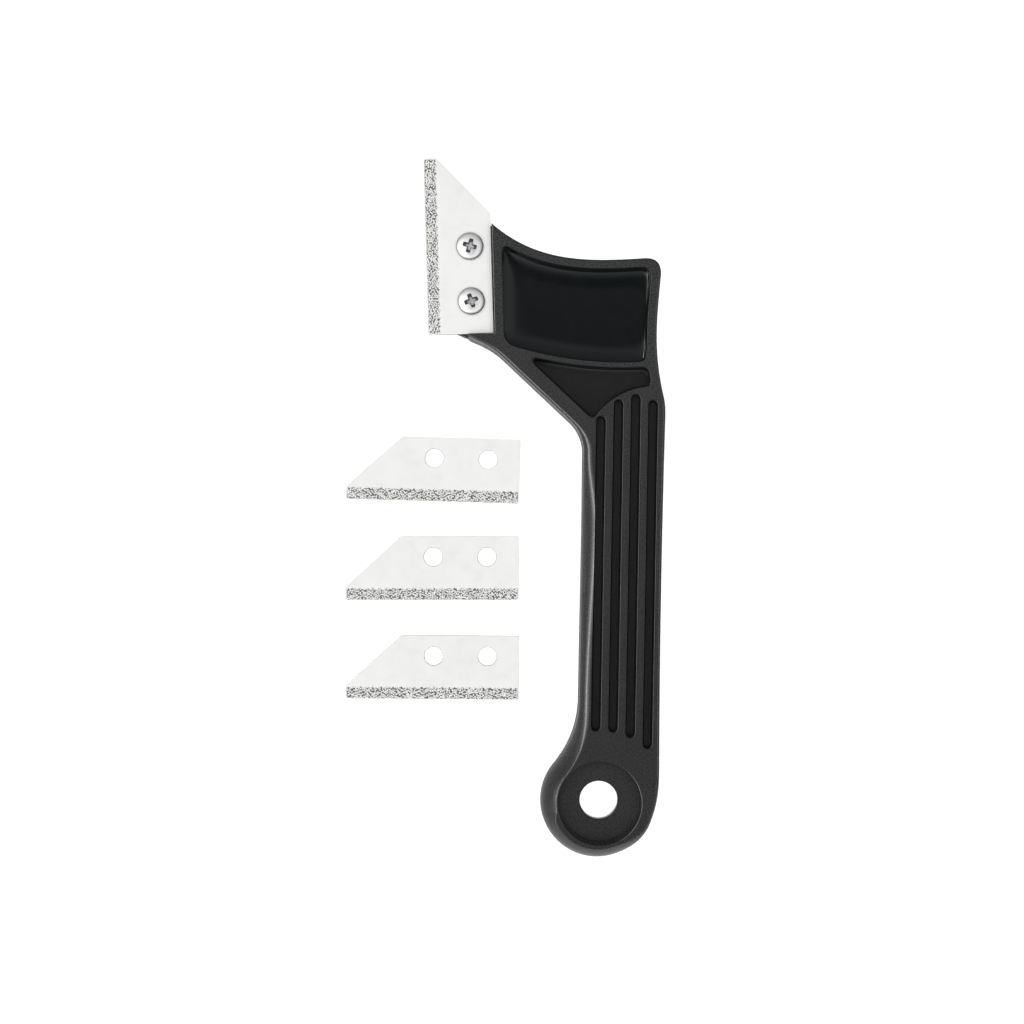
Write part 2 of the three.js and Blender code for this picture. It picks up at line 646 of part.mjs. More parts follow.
// Screw: turned blank standing on its head's underside, with a tapered cross recess.
function screwGeometry() {
  const wall = SCREW_HEAD_HEIGHT - SCREW_HEAD_DOME;
  const dome = new THREE.EllipseCurve(0, wall, SCREW_HEAD_RADIUS, SCREW_HEAD_DOME, 0, Math.PI / 2);
  const blank = new THREE.LatheGeometry([
    point(0, -SCREW_LENGTH),
    point(SCREW_RADIUS - SCREW_POINT, -SCREW_LENGTH),
    point(SCREW_RADIUS, -SCREW_LENGTH + SCREW_POINT),
    point(SCREW_RADIUS, 0),
    point(SCREW_HEAD_RADIUS, 0),
    ...dome.getPoints(ROUND_STEPS).slice(0, -1),
    point(0, SCREW_HEAD_HEIGHT),
  ], FASTENER_STEPS).rotateX(Math.PI / 2);
  const arm = RECESS_SPAN / 2;
  const slot = RECESS_SLOT / 2;
  const cross = [0, 90, 180, 270].flatMap((turn) => {
    return [point(slot, slot), point(slot, arm), point(-slot, arm)].map((corner) => {
      return corner.rotateAround(point(0, 0), radians(turn));
    });
  });
  const tip = cross.map((corner) => corner.clone().multiplyScalar(RECESS_TAPER));
  const recess = loft([
    atHeight(tip, SCREW_HEAD_HEIGHT - RECESS_DEPTH),
    atHeight(cross, SCREW_HEAD_HEIGHT),
    atHeight(cross, SCREW_HEAD_HEIGHT + OVERCUT),
  ]);
  return geometryOf(solidOf(blank).subtract(solidOf(recess)));
}

// Nut: a hexagon with its corners turned off at both ends, bored for the screw.
function nutGeometry() {
  const corner = NUT_FLATS / 2 / Math.cos(Math.PI / 6);
  const chamfer = corner - NUT_FLATS / 2;
  const turned = new THREE.LatheGeometry([
    point(0, 0),
    point(corner - chamfer, 0),
    point(corner, chamfer / 2),
    point(corner, NUT_THICKNESS - chamfer / 2),
    point(corner - chamfer, NUT_THICKNESS),
    point(0, NUT_THICKNESS),
  ], FASTENER_STEPS).rotateX(Math.PI / 2);
  const block = solidOf(prism(hexagon(point(0, 0), NUT_FLATS), 0, NUT_THICKNESS));
  const bore = circle(point(0, 0), SCREW_RADIUS + NUT_BORE_PLAY, FASTENER_STEPS);
  const cut = solidOf(prism(bore, -OVERCUT, NUT_THICKNESS + OVERCUT));
  return geometryOf(block.intersect(solidOf(turned)).subtract(cut));
}

// Materials and assembly.

const blackPlastic = new THREE.MeshStandardMaterial({ color: 0x333536, roughness: 0.55, metalness: 0 });
const bladeSteel = new THREE.MeshStandardMaterial({ color: 0xe9e9ea, roughness: 0.35, metalness: 1 });
const carbideGrit = new THREE.MeshStandardMaterial({ color: 0xb9b9b7, roughness: 0.7, metalness: 0.6 });
const platedSteel = new THREE.MeshStandardMaterial({ color: 0xdcdcdd, roughness: 0.25, metalness: 1 });

function named(name, geometry, material) {
  const mesh = new THREE.Mesh(geometry, material);
  mesh.name = name;
  return mesh;
}

const plate = plateGeometry();
const grit = gritGeometry();
const screw = screwGeometry();
const nut = nutGeometry();

function blade(prefix) {
  const pair = new THREE.Group();
  pair.add(named(`${prefix}_plate`, plate, bladeSteel));
  pair.add(named(`${prefix}_grit`, grit, carbideGrit));
  return pair;
}

const seat = new THREE.Group();
seat.position.set(seatCorner.x, seatCorner.y, SEAT_LEVEL);
seat.rotation.z = radians(BLADE_TILT);

const mounted = blade('blade');
mounted.position.set(-SEAT_CLEARANCE - BLADE_WIDTH, SEAT_CLEARANCE, FACE_GAP);
seat.add(mounted);

['upper', 'lower'].forEach((place, i) => {
  const fastener = named(`${place}_screw`, screw, platedSteel);
  fastener.position.set(holeAcross, holeHeights[i], BLADE_THICKNESS + 2 * FACE_GAP);
  fastener.rotation.z = radians(SCREW_TURNS[i]);
  const holder = named(`${place}_nut`, nut, platedSteel);
  holder.position.set(holeAcross, holeHeights[i], -TONGUE_THICKNESS);
  seat.add(fastener, holder);
});

const tool = new THREE.Group();
tool.rotation.z = radians(-TOOL_LEAN);
tool.add(named('handle', handleGeometry(), blackPlastic), seat);

const set = new THREE.Group();
set.add(tool);
SPARE_TURNS.forEach((turn, i) => {
  const spare = blade(`spare_blade_${i + 1}`);
  spare.position.set(-SPARE_END, SPARE_HEIGHTS[i], GRIT_COAT);
  spare.rotation.z = radians(90 + turn);
  set.add(spare);
});

// The origin is the middle of the set's box, on the surface that everything lies on.
set.updateMatrixWorld(true);
const box = new THREE.Box3().setFromObject(set, true);
const middle = box.getCenter(new THREE.Vector3());
set.position.set(-middle.x, -middle.y, -box.min.z);
set.updateMatrixWorld(true);

export default set;
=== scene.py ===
import cmath
import json
import math

import bmesh
import bpy
from mathutils import Matrix, Vector


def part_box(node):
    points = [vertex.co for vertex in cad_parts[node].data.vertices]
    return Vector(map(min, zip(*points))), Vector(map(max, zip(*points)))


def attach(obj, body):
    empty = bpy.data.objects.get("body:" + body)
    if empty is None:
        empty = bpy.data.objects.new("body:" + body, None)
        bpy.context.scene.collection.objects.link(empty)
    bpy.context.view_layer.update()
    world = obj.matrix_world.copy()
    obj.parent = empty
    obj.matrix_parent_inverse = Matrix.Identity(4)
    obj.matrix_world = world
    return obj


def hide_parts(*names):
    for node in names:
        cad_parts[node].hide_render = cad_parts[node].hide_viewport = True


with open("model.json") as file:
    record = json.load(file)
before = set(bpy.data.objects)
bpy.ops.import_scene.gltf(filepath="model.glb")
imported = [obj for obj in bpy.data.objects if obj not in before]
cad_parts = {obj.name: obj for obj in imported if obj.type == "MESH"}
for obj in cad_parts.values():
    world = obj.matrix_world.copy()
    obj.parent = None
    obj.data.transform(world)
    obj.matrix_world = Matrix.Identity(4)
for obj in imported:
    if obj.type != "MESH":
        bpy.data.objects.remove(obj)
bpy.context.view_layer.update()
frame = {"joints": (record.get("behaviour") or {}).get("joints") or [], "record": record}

# Handle: one black plastic moulding, cored out from both faces down to thin webs and ribs.
# The mould parts along the middle of the thickness and leaves a fine line there. The outside is
# spark-textured, the corner pocket and the grooves are satin, and the head pocket is smooth; the
# satin and smooth finishes also have a far darker colour, which is painted shade in these hollows.

# Plan sizes are in millimetres and degrees, as complex numbers from the hang hole's centre.
MILLIMETRE = 0.001
THICKNESS = 18
MIDDLE = THICKNESS / 2
TOOL_LEAN = -1
KNOB_RADIUS = 16
KNOB_CENTRE = -0.6
KNOB_FROM = 142
KNOB_FULL = 170
KNOB_LOW = 188
KNOB_BOTTOM = 208
KNOB_HEEL = 290
KNOB_TO = 340
SPINE_FOOT = 9
SPINE_HOLLOW = 0.35
GRIP_FRONT = -6.25
GRIP_SPINE = 16.65
GRIP_LENGTH = 109
GRIP_FULLEST = 78
NECK_HEIGHT = 29
SHOULDER_RISE = 5.8
SHOULDER_SETBACK = 0.65
SHOULDER_SLOPE = 104
HEAD_SPINE = 15.1
HEAD_RISE = 44.7
HEAD_CORNER = 5
HEAD_SIDE_SLOPE = 86
HEAD_TOP_SLOPE = 185
HORN_SLOPE = 140
ELBOW_DROP = 5.3
ELBOW_RADIUS = 11.5
DIAGONAL_LENGTH = 35.5
DIAGONAL_SLOPE = -42.3
TAIL_SLOPE = -22.2
TAIL_RADIUS = 24
BLADE_TILT = 2.6
SEAT_SETBACK = 0.7
SEAT_RISE = 3.9
SEAT_HEIGHT = 30.9
TONGUE_REACH = 12.3
TONGUE_CORNER = 3
TONGUE_TOE = 1.5

hang_hole = next(o for o in frame["record"]["physics"]["openings"] if o["name"] == "hang_hole")
hang_centre = (Vector(hang_hole["box_m"][0]) + Vector(hang_hole["box_m"][1])) / 2
millimetres = Matrix.Scale(MILLIMETRE, 4)
tool_turn = Matrix.Rotation(math.radians(TOOL_LEAN), 4, "Z")
tool_place = Matrix.Translation((hang_centre.x, hang_centre.y, 0)) @ tool_turn @ millimetres


def toward(degrees):
    return cmath.rect(1, math.radians(degrees))


def unit(way):
    return way / abs(way)


def cross(first, second):
    return (first.conjugate() * second).imag


def line(start, end):
    return lambda t: start + (end - start) * t


def bezier(*corners):
    def at(t):
        row = corners
        while len(row) > 1:
            row = [a + (b - a) * t for a, b in zip(row, row[1:])]
        return row[0]
    return at


def arc(centre, start, turn):
    return lambda t: centre + (start - centre) * cmath.exp(1j * turn * t)


def bow(start, end, swell):
    """An arc that swells to the right of its way; a negative swell is hollow."""
    chord = end - start
    height = abs(swell)
    radius = (abs(chord) ** 2 / 4 + height ** 2) / (2 * height)
    centre = (start + end) / 2 + 1j * unit(chord) * math.copysign(radius - height, swell)
    return arc(centre, start, cmath.phase((end - centre) / (start - centre)))


def rounded(before, corner, after, radius):
    """The arc that rounds one corner of a path."""
    arriving = unit(corner - before)
    turn = cmath.phase((after - corner) / arriving)
    start = corner - arriving * radius * math.tan(abs(turn) / 2)
    return arc(start + 1j * arriving * math.copysign(radius, turn), start, turn)


def sweep(start, start_slope, end, end_slope, pull=0.38):
    """A smooth run from one point and heading to another."""
    reach = pull * abs(end - start)
    return bezier(start, start + reach * toward(start_slope), end - reach * toward(end_slope), end)


def part_of(curve, start, end):
    return lambda t: curve(start + (end - start) * t)


def heading(curve, t, step=0.001):
    return (curve(t + step) - curve(t - step)) / (2 * step)


def run_of(curve, steps=100):
    points = [curve(i / steps) for i in range(steps + 1)]
    return sum(abs(b - a) for a, b in zip(points, points[1:]))


def shifted(curve, shift):
    return lambda t: curve(t) + 1j * unit(heading(curve, t)) * shift


def crossing(first, second, rounds=12):
    """Where the end of one curve runs into the start of the next."""
    here, there = 1.0, 0.0
    for _ in range(rounds):
        along, across = heading(first, here), heading(second, there)
        gap = second(there) - first(here)
        spread = cross(along, across)
        here += cross(gap, across) / spread
        there += cross(gap, along) / spread
    return here, there


def circle(centre, radius, steps):
    return [centre + radius * toward(360 * i / steps) for i in range(steps)]


def inward_of(outline):
    """For each point of an outline, the way in that keeps the walls parallel."""
    ways = []
    for i, here in enumerate(outline):
        before = 1j * unit(here - outline[i - 1])
        after = 1j * unit(outline[(i + 1) % len(outline)] - here)
        ways.append((before + after) / (1 + (before.conjugate() * after).real))
    return ways


def at_height(outline, z):
    return [(p.real, p.imag, z) for p in outline]


def quarter(steps):
    return [math.pi / 2 * i / steps for i in range(steps + 1)]


def add_loft(shell, rings, finish=0):
    """Skins rising rings into a closed body."""
    rows = [[shell.verts.new(corner) for corner in ring] for ring in rings]
    skin = [shell.faces.new(rows[0][::-1]), shell.faces.new(rows[-1])]
    for low, high in zip(rows, rows[1:]):
        for i in range(len(low)):
            skin.append(shell.faces.new((low[i - 1], low[i], high[i], high[i - 1])))
    for face in skin:
        face.material_index = finish


def made_piece(name, shell, finishes):
    mesh = bpy.data.meshes.new(name)
    shell.to_mesh(mesh)
    shell.free()
    for finish in finishes:
        mesh.materials.append(finish)
    piece = bpy.data.objects.new(name, mesh)
    bpy.context.scene.collection.objects.link(piece)
    return piece


def settle(piece):
    """Makes what the piece's modifiers give its plain mesh."""
    bpy.context.view_layer.update()
    evaluated = piece.evaluated_get(bpy.context.evaluated_depsgraph_get())
    mesh = bpy.data.meshes.new_from_object(evaluated)
    piece.modifiers.clear()
    old = piece.data
    piece.data = mesh
    bpy.data.meshes.remove(old)
    mesh.name = piece.name


def cut_away(piece, *cutters):
    for cutter in cutters:
        cut = piece.modifiers.new("cut", "BOOLEAN")
        cut.operation = "DIFFERENCE"
        cut.solver = "MANIFOLD"
        cut.object = cutter
    settle(piece)
    for cutter in cutters:
        bpy.data.objects.remove(cutter)


def dress(piece, place, crisp, merge=1e-7):
    """Puts the mesh in its place and shades it smooth between edges sharper than crisp degrees."""
    shell = bmesh.new()
    shell.from_mesh(piece.data)
    bmesh.ops.transform(shell, matrix=place, verts=shell.verts)
    bmesh.ops.remove_doubles(shell, verts=shell.verts, dist=merge)
    bmesh.ops.recalc_face_normals(shell, faces=shell.faces)
    shell.to_mesh(piece.data)
    shell.free()
    piece.data.shade_smooth()
    piece.data.set_sharp_from_angle(angle=math.radians(crisp))
    weighted = piece.modifiers.new("flats stay flat", "WEIGHTED_NORMAL")
    weighted.keep_sharp = True
    weighted.weight = 80
    settle(piece)


shoulder = complex(GRIP_SPINE, GRIP_LENGTH)
waist_foot = shoulder + complex(-SHOULDER_SETBACK, SHOULDER_RISE)
head_corner = complex(HEAD_SPINE, GRIP_LENGTH + HEAD_RISE)
elbow = complex(GRIP_FRONT, GRIP_LENGTH - ELBOW_DROP)
neck = complex(GRIP_FRONT, NECK_HEIGHT)
tail_bend = elbow - DIAGONAL_LENGTH * toward(DIAGONAL_SLOPE)
seat_corner = tail_bend + complex(SEAT_SETBACK, SEAT_RISE)


def on_knob(degrees):
    return KNOB_CENTRE + KNOB_RADIUS * toward(degrees)


def knob_arc(start, end):
    return arc(KNOB_CENTRE, on_knob(start), math.radians(end - start))


def on_seat(x, y):
    """A point of the blade seat's own frame: origin in the seat's corner, y up the step."""
    return seat_corner + complex(x, y) * toward(BLADE_TILT)


horn = on_seat(0, SEAT_HEIGHT)
tongue_top = on_seat(-TONGUE_REACH, SEAT_HEIGHT)
step_way, tail_way = toward(90 + BLADE_TILT), toward(TAIL_SLOPE)
toe_drop = cross(tail_bend - tongue_top, tail_way) / cross(step_way, tail_way)
tongue_toe = tongue_top + step_way * toe_drop
waist = sweep(waist_foot, SHOULDER_SLOPE, head_corner, HEAD_SIDE_SLOPE)
head_top = sweep(head_corner, HEAD_TOP_SLOPE, horn, HORN_SLOPE)
diagonal = line(tail_bend, elbow)
corner_start = 1 - HEAD_CORNER / run_of(waist)
corner_end = HEAD_CORNER / run_of(head_top)
spine_foot = complex(GRIP_SPINE, SPINE_FOOT)
elbow_turn = rounded(tail_bend, elbow, neck, ELBOW_RADIUS)
grip_fullest = complex(GRIP_FRONT, GRIP_FULLEST)

# How far a side rounds in to its crest, how far the crest then eases into the face, and the tilt
# of the crest between them.
knob_edge, bottom_edge, heel_edge = (4.2, 0.35, 36), (3.1, 0.1, 46), (1.15, 0.3, 32)
swell_edge = (4.1, 0.22, 40)
spine_edge, head_edge = (0.55, 0.25, 32), (0.5, 0.2, 32)
bend_edge, diagonal_edge, elbow_edge = (0.25, 0.3, 32), (0.5, 0.45, 32), (1.4, 1.1, 32)
grip_edge, neck_edge = (3.4, 1.5, 32), (1.9, 1.4, 32)

# Each stretch of the plan, the steps along it, and its edge where it starts and where it ends.
stretches = [
    (knob_arc(KNOB_FROM, KNOB_FULL), 14, swell_edge, knob_edge),
    (knob_arc(KNOB_FULL, KNOB_LOW), 9, knob_edge, knob_edge),
    (knob_arc(KNOB_LOW, KNOB_BOTTOM), 10, knob_edge, bottom_edge),
    (knob_arc(KNOB_BOTTOM, KNOB_HEEL), 40, bottom_edge, bottom_edge),
    (knob_arc(KNOB_HEEL, KNOB_TO), 24, bottom_edge, heel_edge),
    (sweep(on_knob(KNOB_TO), KNOB_TO - 270, spine_foot, 90), 22, heel_edge, spine_edge),
    (bow(spine_foot, shoulder, -SPINE_HOLLOW), 40, spine_edge, spine_edge),
    (sweep(shoulder, 90, waist_foot, SHOULDER_SLOPE), 12, spine_edge, head_edge),
    (part_of(waist, 0, corner_start), 30, head_edge, head_edge),
    (bezier(waist(corner_start), head_corner, head_top(corner_end)), 18, head_edge, head_edge),
    (part_of(head_top, corner_end, 1), 40, head_edge, head_edge),
    (rounded(horn, tongue_top, tongue_toe, TONGUE_CORNER), 12, head_edge, head_edge),
    (rounded(tongue_top, tongue_toe, tail_bend, TONGUE_TOE), 12, head_edge, bend_edge),
    (rounded(tongue_toe, tail_bend, elbow, TAIL_RADIUS), 16, bend_edge, diagonal_edge),
    (elbow_turn, 22, diagonal_edge, elbow_edge),
    (line(elbow_turn(1), grip_fullest), 22, elbow_edge, grip_edge),
    (line(grip_fullest, neck), 40, grip_edge, neck_edge),
    (sweep(neck, -90, on_knob(KNOB_FROM), KNOB_FROM + 90), 30, neck_edge, swell_edge),
]
SAME_POINT = 0.01
outline, edges = [], []
for curve, steps, from_edge, to_edge in stretches:
    for i in range(steps + 1):
        corner, t = curve(i / steps), i / steps
        if outline and min(abs(corner - outline[-1]), abs(corner - outline[0])) < SAME_POINT:
            continue
        blend = t * t * (3 - 2 * t)
        outline.append(corner)
        edges.append([a + (b - a) * blend for a, b in zip(from_edge, to_edge)])
inward = inward_of(outline)


def edge_ring(along):
    """For each point of the plan, how far in and below the face its edge is: up the side to the
    crest as along goes from 0 to 1, and over the crest to the face as it goes on to 2."""
    ring = []
    for side, crest, crest_tilt in edges:
        crest_tilt = math.radians(crest_tilt)
        side_radius = side / (1 - math.sin(crest_tilt))
        crest_radius = crest / math.sin(crest_tilt)
        if along > 1:
            tilt = crest_tilt * (2 - along)
            reach = side + crest - crest_radius * math.sin(tilt)
            drop = crest_radius * (1 - math.cos(tilt))
        else:
            tilt = math.pi / 2 + (crest_tilt - math.pi / 2) * along
            reach = side_radius * (1 - math.sin(tilt))
            drop = crest_radius * (1 - math.cos(crest_tilt))
            drop += side_radius * (math.cos(crest_tilt) - math.cos(tilt))
        ring.append((reach, drop))
    return ring


PARTING_PROUD = 0.05
PARTING_FLAT = 0.07
PARTING_FOOT = 0.12
SIDE_STEPS = 12
CREST_STEPS = 7
upper_rings = [
    [(p, MIDDLE - PARTING_FLAT) for p in outline],
    [(p + w * PARTING_PROUD, MIDDLE - PARTING_FOOT) for p, w in zip(outline, inward)],
]
side_run = [i / SIDE_STEPS for i in range(SIDE_STEPS)]
crest_run = [1 + i / CREST_STEPS for i in range(CREST_STEPS + 1)]
for along in side_run + crest_run:
    upper_rings.append([(p + w * (PARTING_PROUD + reach), drop)
                        for p, w, (reach, drop) in zip(outline, inward, edge_ring(along))])
rings = [[(p.real, p.imag, drop) for p, drop in ring] for ring in reversed(upper_rings)]
rings += [[(p.real, p.imag, THICKNESS - drop) for p, drop in ring] for ring in upper_rings]
handle_shell = bmesh.new()
add_loft(handle_shell, rings)

WALL_DRAFT = 0.3
RIM_EASE = 0.35
RIM_STEPS = 6
FOOT_STEPS = 12
CORNER_KEPT = 0.4
OVERCUT = 1


def enclosed(sides, inset, spread=0, side_steps=20, corner_steps=12):
    """An outline inside a ring of sides: curve, own inset, run of the corner to the next side and
    the share that the side takes of an inset beyond the draft of its wall, which widens the
    corners by its spread."""
    draft = min(inset, WALL_DRAFT)
    walls = [shifted(curve, own + draft + (inset - draft) * share) for curve, own, _, share in sides]
    corners = []
    for i, wall in enumerate(walls):
        after = walls[(i + 1) % len(walls)]
        here, there = crossing(wall, after)
        opening = math.pi - abs(cmath.phase(heading(after, there) / heading(wall, here)))
        run = max(sides[i][2] - inset / math.tan(opening / 2), CORNER_KEPT * sides[i][2])
        run += (inset - draft) * spread
        corners.append((here - run / run_of(wall), wall(here), there + run / run_of(after)))
    outline = []
    for i, wall in enumerate(walls):
        start, (end, tip, onward) = corners[i - 1][2], corners[i]
        after = walls[(i + 1) % len(walls)]
        turn = bezier(wall(end), tip, after(onward))
        outline += [wall(start + (end - start) * step / side_steps) for step in range(side_steps)]
        outline += [turn(step / corner_steps) for step in range(corner_steps)]
    return outline


def add_hollow(shell, outline_at, depth, foot, foot_tilt, upper, finish):
    """A hollow sunk into one face: eased rim, drafted wall, foot that starts at a tilt, flat floor."""
    levels = [(-OVERCUT, -RIM_EASE)]
    levels += [(RIM_EASE * (1 - math.cos(a)), RIM_EASE * (math.sin(a) - 1)) for a in quarter(RIM_STEPS)]
    foot_tilt = math.radians(foot_tilt)
    for step in range(FOOT_STEPS + 1):
        tilt = foot_tilt * (1 - step / FOOT_STEPS)
        inset = WALL_DRAFT + foot * (math.sin(foot_tilt) - math.sin(tilt))
        levels.append((depth - foot * (1 - math.cos(tilt)), inset))
    rings = [at_height(outline_at(inset), THICKNESS - sunk if upper else sunk) for sunk, inset in levels]
    add_loft(shell, rings[::-1] if upper else rings, finish)


HANG_HOLE_RADIUS = 5.4
HANG_HOLE_EASE = 0.25
COUNTERBORE_RADIUS = 11.7
KNOB_WEB = 3.2
KNOB_FOOT = 0.02
HEAD_WEB = 6
HEAD_COVE = 12.5
HEAD_SPREAD = 1
HEAD_RIM = 2.85
HEAD_POCKET_CORNER = 3.2
CORNER_WEB = 9
CORNER_COVE = 3.5
CORNER_POCKET_CORNER = 1.9
CORNER_POCKET_TIP = 5
CORNER_LEAN = 0.1
DIAGONAL_RIM = 4.7
RIB_WIDTH = 1.9
RIB_SAG = 2.3
RIB_FRONT_SETBACK = 3
RIB_FRONT_DROP = 3.7
RIB_SPINE_RISE = 14.8
CREST_FRONT = 3.15
CREST_DROP = 0.35
CREST_SPINE = 6.6
CREST_RISE = 8.15
CREST_HOLLOW = 1.6
COVE_TILT = 22
UPRIGHT = 90
GROOVE_COUNT = 4
GROOVE_PITCH = 4.85
GROOVE_HALF = 1.25
GROOVE_DEPTH = 2.6
GROOVE_FOOT = 0.06
GROOVE_SETBACK = 4.75
GROOVE_LAND = 8.75
CROWN_GROOVE = 2
CROWN_RISE = 5.75
CROWN_RADIUS = 7.5
ROUND_STEPS = 16

rib_front = seat_corner + complex(RIB_FRONT_SETBACK, -RIB_FRONT_DROP)
rib_spine = complex(HEAD_SPINE, GRIP_LENGTH + RIB_SPINE_RISE)
crest_foot = complex(GRIP_FRONT + CREST_FRONT, GRIP_LENGTH - CREST_DROP)
crest_end = complex(GRIP_SPINE - CREST_SPINE, GRIP_LENGTH + CREST_RISE)
head_pocket = [
    (bow(rib_front, rib_spine, RIB_SAG), RIB_WIDTH / 2, HEAD_POCKET_CORNER, 1),
    (waist, HEAD_RIM, HEAD_POCKET_CORNER, 0),
    (head_top, HEAD_RIM, HEAD_POCKET_CORNER, 1),
    (line(horn, seat_corner), HEAD_RIM, HEAD_POCKET_CORNER, 1),
]
corner_pocket = [
    (diagonal, DIAGONAL_RIM, CORNER_POCKET_CORNER, CORNER_LEAN),
    (bow(crest_foot, crest_end, -CREST_HOLLOW), 0, CORNER_POCKET_CORNER, CORNER_LEAN),
    (waist, HEAD_RIM, CORNER_POCKET_CORNER, 0),
    (bow(rib_spine, rib_front, -RIB_SAG), RIB_WIDTH / 2, CORNER_POCKET_TIP, 1),
]


def groove(count):
    """The outline of one grip groove: its foot follows the counterbore, its head a crown."""
    across = GRIP_FRONT + GROOVE_SETBACK + GROOVE_PITCH * count
    crown = GRIP_FRONT + GROOVE_SETBACK + GROOVE_PITCH * CROWN_GROOVE
    low = math.sqrt((COUNTERBORE_RADIUS + GROOVE_LAND) ** 2 - across ** 2) + GROOVE_HALF
    high = GRIP_LENGTH + CROWN_RISE - (across - crown) ** 2 / (2 * CROWN_RADIUS) - GROOVE_HALF

    def outline_at(inset):
        half_turn = [(GROOVE_HALF - inset) * toward(180 * i / ROUND_STEPS) for i in range(ROUND_STEPS + 1)]
        foot = [complex(across, low) - corner for corner in half_turn]
        head = [complex(across, high) + corner for corner in half_turn]
        return foot + head
    return outline_at


TEXTURED, SATIN_SHADED, SMOOTH_SHADED = range(3)
knob_depth = (THICKNESS - KNOB_WEB) / 2
head_depth = (THICKNESS - HEAD_WEB) / 2
corner_depth = (THICKNESS - CORNER_WEB) / 2
hollows = bmesh.new()
for upper in (True, False):
    add_hollow(hollows, lambda inset: circle(0, COUNTERBORE_RADIUS - inset, steps=120),
               knob_depth, KNOB_FOOT, UPRIGHT, upper, TEXTURED)
    add_hollow(hollows, lambda inset: enclosed(head_pocket, inset, HEAD_SPREAD),
               head_depth, HEAD_COVE, COVE_TILT, upper, SMOOTH_SHADED)
    add_hollow(hollows, lambda inset: enclosed(corner_pocket, inset),
               corner_depth, CORNER_COVE, COVE_TILT, upper, SATIN_SHADED)
    for count in range(GROOVE_COUNT):
        add_hollow(hollows, groove(count), GROOVE_DEPTH, GROOVE_FOOT, UPRIGHT, upper, SATIN_SHADED)

SEAT_LEVEL = 11
TONGUE_BACK = 5
LEDGE_LENGTH = 7.3
SEAT_FILLET = 0.25
SEAT_EDGE = 0.4
BEYOND = 50


def seat_space(grow):
    """The space over the tongue: the step on its right, the ledge below."""
    ledge_end = grow - LEDGE_LENGTH
    step_side = [(grow, -grow), (grow, BEYOND)]
    far_side = [(-BEYOND, BEYOND), (-BEYOND, -BEYOND)]
    ledge_side = [(ledge_end, -BEYOND), (ledge_end, -grow)]
    return [on_seat(x, y) for x, y in step_side + far_side + ledge_side]


fillet = [(SEAT_FILLET * (1 - math.sin(a)), SEAT_FILLET * (math.cos(a) - 1))
          for a in reversed(quarter(steps=5))]
rim = [(SEAT_EDGE * math.sin(a), SEAT_EDGE * (1 - math.cos(a))) for a in quarter(steps=6)]
front = [(SEAT_LEVEL + rise, grow) for rise, grow in fillet]
front += [(THICKNESS - SEAT_EDGE + rise, grow) for rise, grow in rim]
front += [(THICKNESS + OVERCUT, SEAT_EDGE)]
back = [(TONGUE_BACK - rise, grow) for rise, grow in fillet]
back += [(SEAT_EDGE - rise, grow) for rise, grow in rim]
back += [(-OVERCUT, SEAT_EDGE)]
add_loft(hollows, [at_height(seat_space(grow), z) for z, grow in front])
add_loft(hollows, [at_height(seat_space(grow), z) for z, grow in reversed(back)])

SCREW_ACROSS = -6.3
SCREW_HEIGHTS = (25, 9.5)
SCREW_HOLE_RADIUS = 2.2
SCREW_HOLE_EASE = 0.2
SCREW_HOLE_FOOT = 7
NUT_FLATS = 7
NUT_THICKNESS = 3.2
NUT_PLAY = 0.15
POCKET_MOUTH = 1.08
POCKET_LEAD = 0.3
POCKET_GAP = 0.1

half_bore = [(knob_depth - OVERCUT, HANG_HOLE_EASE), (knob_depth, HANG_HOLE_EASE),
             (knob_depth + HANG_HOLE_EASE, 0)]
hang_levels = half_bore + [(THICKNESS - z, grow) for z, grow in reversed(half_bore)]
hole_levels = [(SCREW_HOLE_FOOT, 0), (SEAT_LEVEL - SCREW_HOLE_EASE, 0),
               (SEAT_LEVEL, SCREW_HOLE_EASE), (SEAT_LEVEL + OVERCUT, SCREW_HOLE_EASE)]
pocket_levels = [(TONGUE_BACK - OVERCUT, POCKET_MOUTH), (TONGUE_BACK, POCKET_MOUTH),
                 (TONGUE_BACK + POCKET_LEAD, 1), (TONGUE_BACK + NUT_THICKNESS + POCKET_GAP, 1)]
pocket_radius = (NUT_FLATS / 2 + NUT_PLAY) / math.cos(math.pi / 6)
pocket = [corner * toward(BLADE_TILT) for corner in circle(0, pocket_radius, steps=6)]
bores = bmesh.new()
nut_pockets = bmesh.new()
add_loft(bores, [at_height(circle(0, HANG_HOLE_RADIUS + grow, steps=96), z) for z, grow in hang_levels])
for height in SCREW_HEIGHTS:
    axis = on_seat(SCREW_ACROSS, height)
    add_loft(bores, [at_height(circle(axis, SCREW_HOLE_RADIUS + grow, steps=48), z)
                     for z, grow in hole_levels])
    add_loft(nut_pockets, [at_height([axis + corner * grow for corner in pocket], z)
                           for z, grow in pocket_levels])


def new_finish(name):
    """A material, its node tree and its shader."""
    finish = bpy.data.materials.new(name)
    finish.use_nodes = True
    return finish, finish.node_tree, finish.node_tree.nodes["Principled BSDF"]


def join(tree, *routes):
    """Links nodes of a tree, each route given as node, its output, next node, its input."""
    for giver, output, taker, entry in routes:
        tree.links.new(giver.outputs[output], taker.inputs[entry])


def add_noise(tree, scale, detail, stretch=(1, 1, 1)):
    """Noise on the piece's own coordinates; scale counts features to the metre."""
    coordinates = tree.nodes.new("ShaderNodeTexCoord")
    mapping = tree.nodes.new("ShaderNodeMapping")
    mapping.inputs["Scale"].default_value = stretch
    noise = tree.nodes.new("ShaderNodeTexNoise")
    noise.inputs["Scale"].default_value = scale
    noise.inputs["Detail"].default_value = detail
    join(tree, (coordinates, "Object", mapping, "Vector"), (mapping, "Vector", noise, "Vector"))
    return noise.outputs["Fac"]


